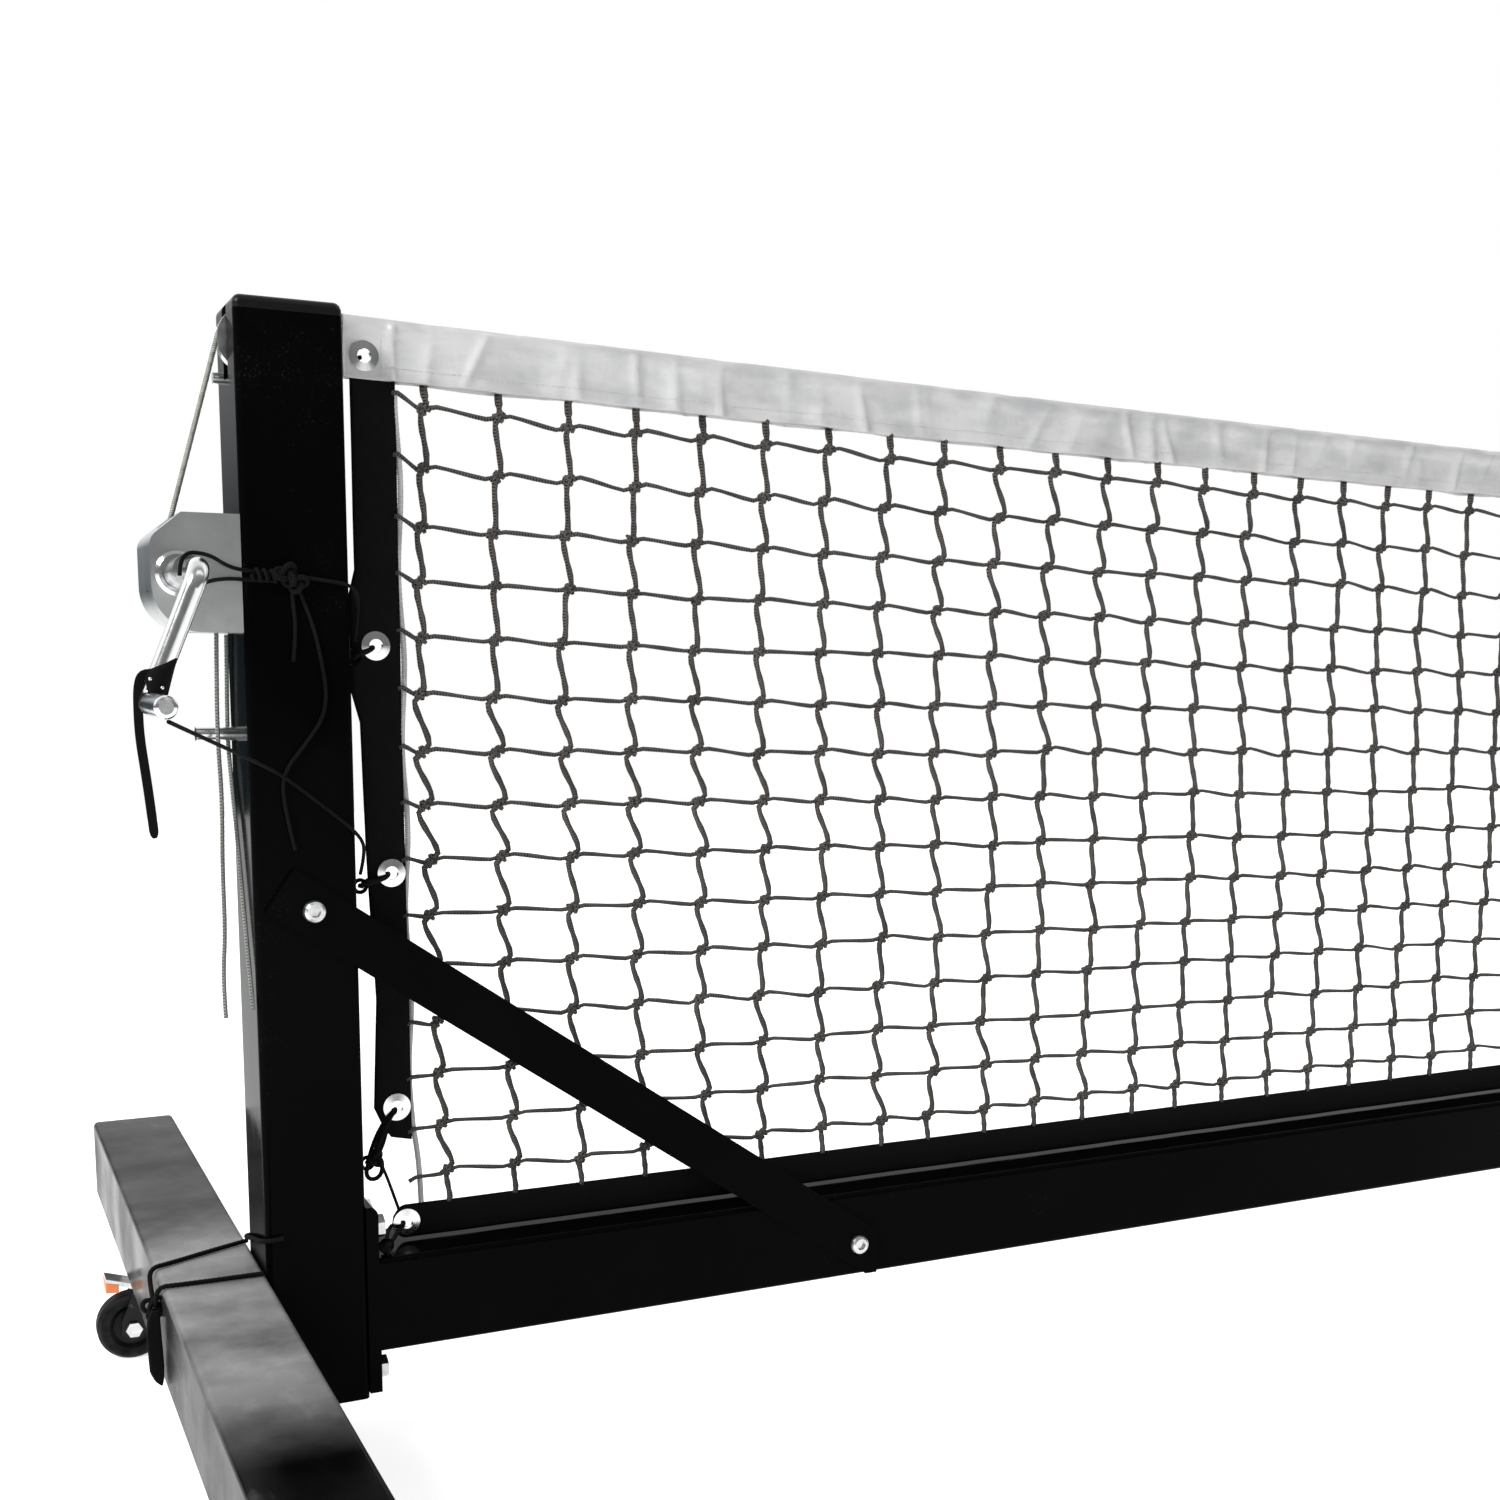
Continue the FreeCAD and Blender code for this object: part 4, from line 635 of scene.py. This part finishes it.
def knotted_net():
    knots = net_knots()
    pile = Pile()
    for column in range(COLUMNS):
        x = knots[0, column, 0]
        top = np.array([x + 0.001, 0, float(net_top(x)) - HUNG_DEPTH])
        foot = np.array([knots[-1, column, 0], 0, BAND_TOP - 0.002])
        stops = [top, *knots[:, column], foot]
        line = [top[None, :]]
        for i, (a, b) in enumerate(zip(stops, stops[1:])):
            swing = 0.0054 + 0.0055 * noise.noise((x * 1.7, i * 0.35, 2.0)) + rng.normal(0, 0.0007)
            swing *= 0.3 if i in (0, ROWS) else 1
            line.append(strand(a, b, swing, 0.4 * swing, 0, 8)[1:])
        points = np.concatenate(line)
        thickness = 0.0025 + 0.0003 * np.sin(np.arange(len(points)) * 1.9 + column)
        thickness[:5] = 0.0033
        pile.add(*sweep(points, thickness, 7))
    for row in range(ROWS):
        middle, left, right = 0.45, knots[row, 0], knots[row, -1]
        spread = 0.026 * (left[2] - middle)
        start = np.array([-STRAP_EDGE - 0.003, 0, left[2] + spread])
        end = np.array([STRAP_EDGE + 0.003, 0, right[2] + spread])
        stops = [start, *knots[row], end]
        line = [start[None, :]]
        for i, (a, b) in enumerate(zip(stops, stops[1:])):
            lift = 0.0022 + 0.002 * noise.noise((a[0] * 2.1, row * 0.6, 9.0))
            line.append(strand(a, b, 0, 0.0008, -lift, 6)[1:])
        points = np.concatenate(line)
        pile.add(*sweep(points, 0.0018 + 0.0002 * np.sin(np.arange(len(points)) * 1.3 + row), 6))
    for knot in knots.reshape(-1, 3):
        pile.add(*sweep(knot + knot_wrap(rng.normal(0.35, 0.3), rng.random()), 0.0022, 5))
    net = pile.piece("knotted_net", "net_twine", replaces=["net_panel"])


knotted_net()


def edge_cords():
    """The light cord that the net's ends are tied to, behind each side strap, down to the bottom band."""
    pile = Pile()
    for side in (-1, 1):
        z = np.arange(0.858, 0.186, -0.002)
        x = STRAP_EDGE - 0.0015 + 0.0016 * np.sin(z * 46) + np.interp(z, [0.19, 0.26, 0.3], [-0.0075, 0, 0])
        line = np.stack([side * x, 0.0022 + 0 * z, z], 1)
        pile.add(*sweep(line, 0.0024, 10, lobes=3, pitch=0.012))
    pile.piece("net_edge_cords", "net_twine", look="edge_cord")


edge_cords()


# ---------------------------------------------------------------- headband
GROMMETS = [(3.3284, 0.883), (3.3245, 0.6607), (3.316, 0.478), (3.316, 0.2815), (3.310, 0.181)]
HOLE = 0.0082                                       # radius cut out of the cloth at a grommet
BAND_DEPTH = 0.048                                  # from the band's top to its hem
MID_DEPTH = BAND_DEPTH / 2


def near_grommet(x, z, inner, outer):
    """1 within the inner distance of any grommet's centre, falling to 0 at the outer one."""
    reach = min(math.hypot(abs(x) - gx, z - gz) for gx, gz in GROMMETS)
    share = min(1.0, max(0.0, (outer - reach) / (outer - inner)))
    return share * share * (3 - 2 * share)


def without_holes(verts, faces):
    """The faces that no grommet's hole passes through."""
    centres = np.array([np.mean([verts[i] for i in f], axis=0) for f in faces])
    keep = np.ones(len(faces), bool)
    for x, z in GROMMETS:
        reach = np.hypot(np.abs(centres[:, 0]) - x, centres[:, 2] - z)
        keep &= reach > HOLE
    return [f for f, k in zip(faces, keep) if k]


def band_profile():
    """The folded strip, as (y, depth): up from the front hem, over the cable and down to the back hem."""
    half = [(0.0005, 0.037), (0.0006, 0.042), (0.0008, 0.0468), (0.0014, 0.048), (0.0020, 0.0466)]
    half += [(0.0020, z) for z in np.linspace(0.0445, 0.0165, 15)]
    half += [(0.0026, 0.0145), (0.0035, 0.0115)]
    half += [(0.0042 * math.sin(a), 0.0055 - 0.0052 * math.cos(a)) for a in np.linspace(1.75, 0.2, 7)]
    return np.array([(-y, z) for y, z in half] + [(y, z) for y, z in half[::-1]])


RIDGE = 3.309                                       # where the end tab is sewn under the band
CLOTH = 0.0020                                      # from the band's middle to its cloth, front and back
THREAD = 0.00028                                    # its radius, and how far it dips in and out
THREAD_DIP = 0.0003
# Each crease has its place, lean, height, width and the share of the depth where it is strongest.
CREASES = [(x + rng.normal(0, 0.012), rng.normal(0, 0.25), rng.uniform(0.002, 0.0052),
            rng.uniform(0.0035, 0.010), rng.uniform(-0.2, 1.2)) for x in np.arange(-HALF, HALF, 0.045)]


def creases(x, depth):
    """Upright folds standing out of the vinyl, each leaning its own way and strongest at its own depth."""
    height = 0.0
    for place, lean, tall, width, centre in CREASES:
        away = x - place - lean * (depth - MID_DEPTH)
        if abs(away) < 3 * width:
            share = depth / BAND_DEPTH - centre
            height += tall * math.exp(-abs(away / width) ** 1.5 - share * share / 0.5)
    return height


def fold(x, depth, side):
    """Sideways shift of the vinyl: soft hanging folds, puckers under the cable and sharp cross creases."""
    hanging = max(0.0, noise.noise((x * 15 + depth * 4, depth * 5, 4.0 + side)) + 0.25) * 0.0062
    broad = (0.5 + 0.5 * noise.noise((x * 5, depth * 14, 9.0 + side))) * 0.0022
    pucker = max(0.0, noise.noise((x * 30 + depth * 24, side * 5.0, 1.0))) * 0.0058
    pucker *= math.exp(-depth / 0.011)
    crease = creases(x + 0.013 * side, depth)
    hem = noise.noise((x * 26, side * 2.0, 6.0)) * 0.0018 * max(0.0, depth - 0.030) / 0.018
    from_ridge = abs(x) - RIDGE + 4.8 * (depth - MID_DEPTH) ** 2
    ridge = 0.0034 * math.exp(-(from_ridge / 0.003) ** 2)
    tab = 0.35 if abs(x) > RIDGE else 1.0
    return (hanging + broad + pucker + crease + hem) * tab + ridge


def on_band(x, y, depth, proud=0.0):
    """A point of the headband's cloth, standing proud of it by a little."""
    side = math.copysign(1, y)
    loose = min(1.0, max(0.0, (depth - 0.0015) / 0.006))
    sag = noise.noise((x * 5, side, 4.0)) * 0.0008 - 0.0012 * max(0.0, noise.noise((x * 31, 2.0, side)))
    hem = noise.noise((x * 11, 7.0, side)) * 0.0014 * min(1.0, depth / BAND_DEPTH)
    z = float(net_top(x)) - depth + sag + hem
    pressed = near_grommet(x, z, 0.0125, 0.024)
    shift = fold(x, depth, side) * loose * (1 - pressed) + proud
    return (x, y * (1 - 0.38 * pressed) + side * shift, z)


def headband():
    profile = band_profile()
    near_ends = np.arange(HALF - 0.12, HALF, 0.002)
    between = np.arange(-HALF + 0.12, HALF - 0.12, 0.003)
    stations = np.unique(np.concatenate([-near_ends, [-HALF, HALF], near_ends, between]))
    verts = [on_band(x, y, depth) for x in stations for y, depth in profile]
    count = len(profile)
    faces = [(a, a + 1, a + count + 1, a + count)
             for i in range(len(stations) - 1) for a in range(i * count, (i + 1) * count - 1)]
    band = add_piece("vinyl_headband", verts, without_holes(verts, faces), "white_vinyl",
                     replaces=["headband"])


def stitching():
    """Thread that dips in and out of the vinyl above its hem, and up and down the end tabs."""
    pile = Pile()
    for side in (-1, 1):
        x = np.arange(-HALF + 0.006, HALF - 0.006, 0.0011)
        dip = THREAD_DIP * np.sin(np.arange(len(x)) * math.pi / 2)
        seam = [on_band(a, side * CLOTH, 0.0378, d) for a, d in zip(x, dip)]
        pile.add(*sweep(seam, THREAD, 4))
        for end in (-1, 1):
            depth = np.arange(0.008, 0.046, 0.0011)
            dip = THREAD_DIP * np.sin(np.arange(len(depth)) * math.pi / 2)
            seam = [on_band(end * (RIDGE + 0.006), side * CLOTH, a, d) for a, d in zip(depth, dip)]
            pile.add(*sweep(seam, THREAD, 4))
    pile.piece("headband_stitching", "white_vinyl", look="thread")


headband()
stitching()


# ---------------------------------------------------------------- webbing
def webbing_strip(name, edges, thickness, replaces=(), body="root", sway=0.0006, y=0.0):
    """A flat strip between two lists of edge points, (x, z) pairs in metres, facing the net's front."""
    verts, faces = [], []
    across = 13
    rows = len(edges)
    for face_side in (-1, 1):
        for (x0, z0), (x1, z1) in edges:
            for t in np.linspace(0, 1, across):
                x, z = x0 + (x1 - x0) * t, z0 + (z1 - z0) * t
                rim = 1 - 0.7 * abs(2 * t - 1) ** 10
                wave = noise.noise((x * 18, z * 14, 3.0)) * sway * 2
                verts.append((x, y + face_side * thickness / 2 * rim + wave, z))
    size = rows * across
    for i in range(rows - 1):
        for k in range(across - 1):
            a = i * across + k
            faces.append((a, a + 1, a + across + 1, a + across))
            faces.append(tuple(size + j for j in (a + across, a + across + 1, a + 1, a)))
        for k in (0, across - 1):
            a, b = i * across + k, (i + 1) * across + k
            faces.append((a, b, size + b, size + a))
    for i in (0, rows - 1):
        for k in range(across - 1):
            a = i * across + k
            faces.append((a, a + 1, size + a + 1, size + a))
    return add_piece(name, verts, without_holes(verts, faces), "black_webbing",
                     replaces=replaces, body=body)


STRAP_OUTLINE = [                                   # height and outer edge of a side strap
    (0.256, 3.3214), (0.266, 3.328), (0.282, 3.335), (0.373, 3.331), (0.5, 3.3365), (0.60, 3.3385),
    (0.625, 3.3452), (0.70, 3.3452), (0.72, 3.340), (0.866, 3.340),
]


def strap_edges(side):
    """The side strap narrows below its middle and ends in a slanted point at its lowest grommet."""
    edges = []
    for z in np.concatenate([[0.8665], np.arange(0.864, 0.27, -0.003), [0.268, 0.262, 0.256]]):
        outer = float(np.interp(z, [z for z, _ in STRAP_OUTLINE], [x for _, x in STRAP_OUTLINE]))
        inner = float(np.interp(z, [0.25, 0.6, 0.866], [3.3035, 3.3045, 3.304]))
        edges.append(((side * outer, z), (side * inner, z - (0.004 if z < 0.27 else 0))))
    return edges


webbing_strip("left_side_webbing", strap_edges(-1), 0.0024, ["side_straps"])
webbing_strip("right_side_webbing", strap_edges(1), 0.0024)


def bottom_edges():
    """The bottom band, with its ends rounded round the corner grommets."""
    low, high = (v.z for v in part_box("bottom_band"))
    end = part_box("bottom_band")[1].x
    near = np.arange(end - 0.04, end, 0.003)
    between = np.arange(-end + 0.04, end - 0.04, 0.012)
    stations = np.unique(np.concatenate([-near, near, [-end, end], between]))
    edges = []
    for x in stations:
        trim = max(0.0, abs(x) - (end - 0.01)) / 0.01
        edges.append(((x, low + 0.009 * trim ** 2), (x, high - 0.009 * trim ** 2)))
    return edges


webbing_strip("bottom_webbing", bottom_edges(), 0.0026, ["bottom_band"])


def ribbon_edges(middle, width):
    """Edge points of a ribbon along a line of (x, z) points in millimetres."""
    line = evenly(smooth_line([(x, 0, z) for x, z in middle]), 0.002)
    step = np.gradient(line, axis=0)
    step /= np.linalg.norm(step, axis=1)[:, None]
    half = np.full(len(line), width * MM / 2)
    half[-3:] *= (0.95, 0.8, 0.45)
    return [((p[0] - h * d[2], p[2] + h * d[0]), (p[0] + h * d[2], p[2] - h * d[0]))
            for p, d, h in zip(line, step, half)]


def lashing_loop():
    """The folded webbing loop under the lashing's knot: two plies, narrowed into a blunt tip."""
    heights = np.linspace(0.150, 0.0885, 24)
    for name, y, drop in (("lashing_loop", -0.0418, 0.0), ("lashing_loop_back", -0.0394, 0.0012)):
        edges = []
        for z in heights + drop:
            outer = float(np.interp(z, [0.0885, 0.092, 0.100, 0.130, 0.143, 0.152],
                                    [-3.5172, -3.5212, -3.5248, -3.5262, -3.5250, -3.5205]))
            inner = float(np.interp(z, [0.0885, 0.093, 0.105, 0.152], [-3.5158, -3.5146, -3.5140, -3.5160]))
            edges.append(((outer, z), (inner, z)))
        webbing_strip(name, edges, 0.0017, y=y)


lashing_loop()


# ---------------------------------------------------------------- strap on the crank
ARM_Y = -150.0
ARM_TOP, ARM_LOW = np.array([-3479.0, 711.3]), np.array([-3517.0, 619.0])
STRAP_TAIL = [(-3502, 636), (-3512, 639), (-3520.5, 639.5), (-3523.4, 630), (-3523.8, 616), (-3523.6, 597),
              (-3520.7, 571), (-3518.7, 551), (-3516.7, 527.5)]
STRAP_TAB = ((-3519, 641), (-3497.5, 650), (-3504.5, 625), (-3518, 621.5))   # upper left, then clockwise


def arm_cover(x, z, lift):
    """Distance in front of the arm's middle at which cloth lies on its round side."""
    run = (ARM_LOW - ARM_TOP) / np.linalg.norm(ARM_LOW - ARM_TOP)
    away = abs((x - ARM_TOP[0]) * run[1] - (z - ARM_TOP[1]) * run[0])
    radius = 7.4 + lift
    return math.sqrt(radius ** 2 - min(away, 0.86 * radius) ** 2)


def crank_tab():
    """The webbing folded over the arm, front and back."""
    pile = Pile()
    a, b, c, d = (np.array(corner, float) for corner in STRAP_TAB)
    count = 15
    for side in (-1, 1):
        for lift in (0.4, 2.0):
            verts = []
            for v in np.linspace(0, 1, count):
                for u in np.linspace(0, 1, count):
                    x, z = (a * (1 - u) + b * u) * (1 - v) + (d * (1 - u) + c * u) * v
                    round_off = 1.6 * (abs(2 * u - 1) ** 8 + abs(2 * v - 1) ** 8)
                    depth = arm_cover(x, z, lift) - (round_off if lift > 1 else 0)
                    verts.append((x * MM, (ARM_Y + side * depth) * MM, z * MM))
            faces = [(i, i + 1, i + count + 1, i + count)
                     for row in range(count - 1) for i in range(row * count, row * count + count - 1)]
            pile.add(verts, faces)
    pile.piece("crank_strap_tab", "black_webbing", body="crank", replaces=["crank_strap"])


def crank_rivets():
    pile = Pile()
    for x, z in ((-3515.9, 635.8), (-3508.6, 630.0)):
        base = ARM_Y - arm_cover(x, z, 2.0)
        stem = np.array([(x, base + y, z) for y in (1.0, -0.3, -0.7, -0.9)]) * MM
        pile.add(*sweep(stem, np.array((1.3, 1.3, 0.9, 0.3)) * MM, 12))
    pile.piece("crank_strap_rivets", "polished_steel", body="crank")


crank_tab()
crank_rivets()
webbing_strip("crank_strap_tail", ribbon_edges(STRAP_TAIL, 6.3), 0.0016,
              body="crank", sway=0.0003, y=ARM_Y * MM)


# ---------------------------------------------------------------- cable and lacing
CABLE_RADIUS = 0.002


def middle_of(node):
    low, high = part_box(node)
    return (low.x + high.x) / 2, (low.z + high.z) / 2


def turn_of(centre, radius, start, end, step=0.002):
    """Points of an arc round a centre, in the plane of the net."""
    count = max(4, int(abs(end - start) * radius / step))
    return [(centre[0] + radius * math.cos(a), 0, centre[1] + radius * math.sin(a))
            for a in np.linspace(start, end, count)]


def net_cable():
    """Stranded cable: off the drum, over the pulley, along the net, over the far saddle to its end loop."""
    pulley, drum = middle_of("cable_pulley"), middle_of("winch_bushes")
    on_pulley, on_drum = 0.022, 0.0101
    saddle = (-pulley[0], pulley[1])
    across, up = pulley[0] - drum[0], pulley[1] - drum[1]
    leave = math.atan2(up, across) + math.acos((on_drum - on_pulley) / math.hypot(across, up))
    slope = math.atan2(2 * (END_TOP - MID_TOP) / HALF, 1)
    lean = math.pi / 2 - slope
    start = turn_of(pulley, on_pulley, leave, lean)[-1]
    x = np.arange(start[0], -start[0], 0.0025)
    rise = start[2] - float(net_top(start[0]))
    along = [(a, 0, float(net_top(a)) + rise) for a in x]
    down = saddle[0] + on_pulley
    path = turn_of(drum, on_drum, leave + 3.4, leave) + turn_of(pulley, on_pulley, leave, lean) + along
    path += turn_of(saddle, on_pulley, math.pi - lean, 0) + [(down, 0, z) for z in (0.84, 0.825, 0.812)]
    line = evenly(np.array(path), 0.0025)
    verts, faces, uvs = sweep(line, CABLE_RADIUS, 12, lobes=6, pitch=0.024, depth=0.12)
    cable = add_piece("stranded_cable", verts, faces, "cable_steel", uvs=uvs, replaces=["net_cable"])
    ring = np.array([(down, 0.007 * math.sin(a), 0.801 + 0.007 * math.cos(a))
                     for a in np.arange(0, 6.28, 0.2)])
    verts, faces, uvs = sweep(ring, CABLE_RADIUS, 12, closed=True)
    loop = add_piece("cable_end_loop", verts, faces, "cable_steel", uvs=uvs)


RINGS = [(3345, 14, 876), (3345, -14, 652), (3345, -14, 470), (3345, -14, 240), (3335, -31, 173)]


def mirrored_ties(pile, stops, radius):
    for side in (-1, 1):
        add_tie(pile, [(side * x, y, z) for x, y, z in stops], radius)


def lacing():
    """Cord from each grommet to its eye: over the rim, through the hole and back behind the webbing."""
    pile = Pile()
    for (ring_x, ring_y, ring_z), (x, z) in zip(RINGS, GROMMETS):
        x, z = x / MM, z / MM
        toward = np.array([ring_x - x, ring_z - z])
        hole_x, hole_z = np.array([x, z]) + toward / np.linalg.norm(toward) * 3
        back = [(hole_x, 0, hole_z), (hole_x, 4.5, hole_z),
                ((hole_x + ring_x) / 2, 6, (hole_z + ring_z) / 2),
                (ring_x - 1, ring_y + 4, ring_z), (ring_x - 1, ring_y - 3, ring_z)]
        mirrored_ties(pile, back, 1.8)
        if ring_y < 0:
            front = [(hole_x - 1, 2, hole_z), (hole_x, -3.8, hole_z - 0.5),
                     (hole_x + 5, -5.5, hole_z - 3.5), (ring_x - 2, ring_y - 3.5, ring_z + 1),
                     (ring_x, ring_y + 2, ring_z)]
            mirrored_ties(pile, front, 2.0)
    for side in (-1, 1):
        add_knot(pile, (side * 3338, -15, 243), 12, 2.2, 0.5)
        add_knot(pile, (side * 3336, -33, 172), 9, 1.9, 0.2)
    for shift in (-2.4, 0, 2.4):
        band = [(3322 + shift, 3.5, 270), (3327 + shift, 2.5, 261), (3332 + shift, -6, 252),
                (3338 + shift / 2, -14, 244)]
        mirrored_ties(pile, band, 2.0)
    bight = [(3333, -15, 240), (3332.5, -15, 232), (3337, -15, 226), (3344, -15, 226), (3347, -15, 233),
             (3344, -15, 240)]
    mirrored_ties(pile, bight, 1.9)
    mirrored_ties(pile, [(3334, -13, 240), (3328, -8, 226), (3321, -4, 206), (3317, -2.8, 194)], 1.4)
    pile.piece("net_lacing", "black_cord", replaces=["lacing"])


net_cable()
lacing()


# ---------------------------------------------------------------- stage and light
def area_light(name, place, target, size, power):
    data = bpy.data.lights.new(name, "AREA")
    data.shape = "RECTANGLE"
    data.size, data.size_y = size
    data.energy = power
    lamp = bpy.data.objects.new(name, data)
    lamp.location = place
    lamp.rotation_euler = (Vector(target) - Vector(place)).to_track_quat("-Z", "Y").to_euler()
    bpy.context.scene.collection.objects.link(lamp)


def make_stage():
    side, front, back = 30, -12, 6
    mesh = bpy.data.meshes.new("floor")
    corners = [(-side, front, 0), (side, front, 0), (side, back, 0), (-side, back, 0)]
    mesh.from_pydata(corners, [], [(0, 1, 2, 3)])
    floor = bpy.data.objects.new("floor", mesh)
    s = Shader("floor", (0.8, 0.8, 0.8), 0.8)
    s.set("Emission Color", (1, 1, 1, 1))
    s.set("Emission Strength", 0.66)
    mesh.materials.append(s.material)
    bpy.context.scene.collection.objects.link(floor)


def make_world():
    """A studio: bright far ceiling, dark far horizon, grey near side, white as a backdrop."""
    world = bpy.data.worlds.new("world")
    world.use_nodes = True
    nodes, links = world.node_tree.nodes, world.node_tree.links
    place = nodes.new("ShaderNodeSeparateXYZ")
    links.new(nodes.new("ShaderNodeTexCoord").outputs["Generated"], place.inputs[0])

    def ramp(value, stops):
        made = nodes.new("ShaderNodeValToRGB")
        elements = made.color_ramp.elements
        while len(elements) < len(stops):
            elements.new(0.5)
        for element, (position, shade) in zip(elements, stops):
            element.position = position
            element.color = (*shade, 1)
        raised = nodes.new("ShaderNodeMath")
        raised.operation = "MULTIPLY_ADD"
        raised.inputs[1].default_value = 0.5
        raised.inputs[2].default_value = 0.5
        links.new(value, raised.inputs[0])
        links.new(raised.outputs[0], made.inputs["Fac"])
        return made.outputs["Color"]

    far = ramp(place.outputs["Z"], [(0.40, (0.03, 0.05, 0.06)), (0.52, (0.03, 0.05, 0.06)),
                                    (0.57, (0.62, 0.64, 0.66)), (0.68, (1.5, 1.51, 1.52)),
                                    (1.0, (0.9, 0.9, 0.9))])
    near = ramp(place.outputs["Z"], [(0.45, (0.12, 0.12, 0.12)), (0.6, (0.2, 0.2, 0.2)),
                                     (1.0, (0.4, 0.4, 0.4))])
    beyond = ramp(place.outputs["Y"], [(0.44, (0, 0, 0)), (0.56, (1, 1, 1))])
    blend = nodes.new("ShaderNodeMix")
    blend.data_type = "RGBA"
    links.new(beyond, blend.inputs["Factor"])
    links.new(near, blend.inputs["A"])
    links.new(far, blend.inputs["B"])
    links.new(blend.outputs["Result"], nodes["Background"].inputs["Color"])
    plain = nodes.new("ShaderNodeBackground")
    plain.inputs["Color"].default_value = (1, 1, 1, 1)
    seen = nodes.new("ShaderNodeLightPath")
    mix = nodes.new("ShaderNodeMixShader")
    links.new(seen.outputs["Is Camera Ray"], mix.inputs["Fac"])
    links.new(nodes["Background"].outputs[0], mix.inputs[1])
    links.new(plain.outputs[0], mix.inputs[2])
    links.new(mix.outputs[0], nodes["World Output"].inputs["Surface"])
    bpy.context.scene.world = world
    bpy.context.scene.view_settings.view_transform = "Standard"


area_light("key", (-6.0, -1.6, 3.0), (-3.2, 0, 0.7), (1.2, 1.2), 135)
area_light("high", (0, -2.2, 4.2), (0, 0, 0.5), (7, 1.2), 24)
make_world()
make_stage()
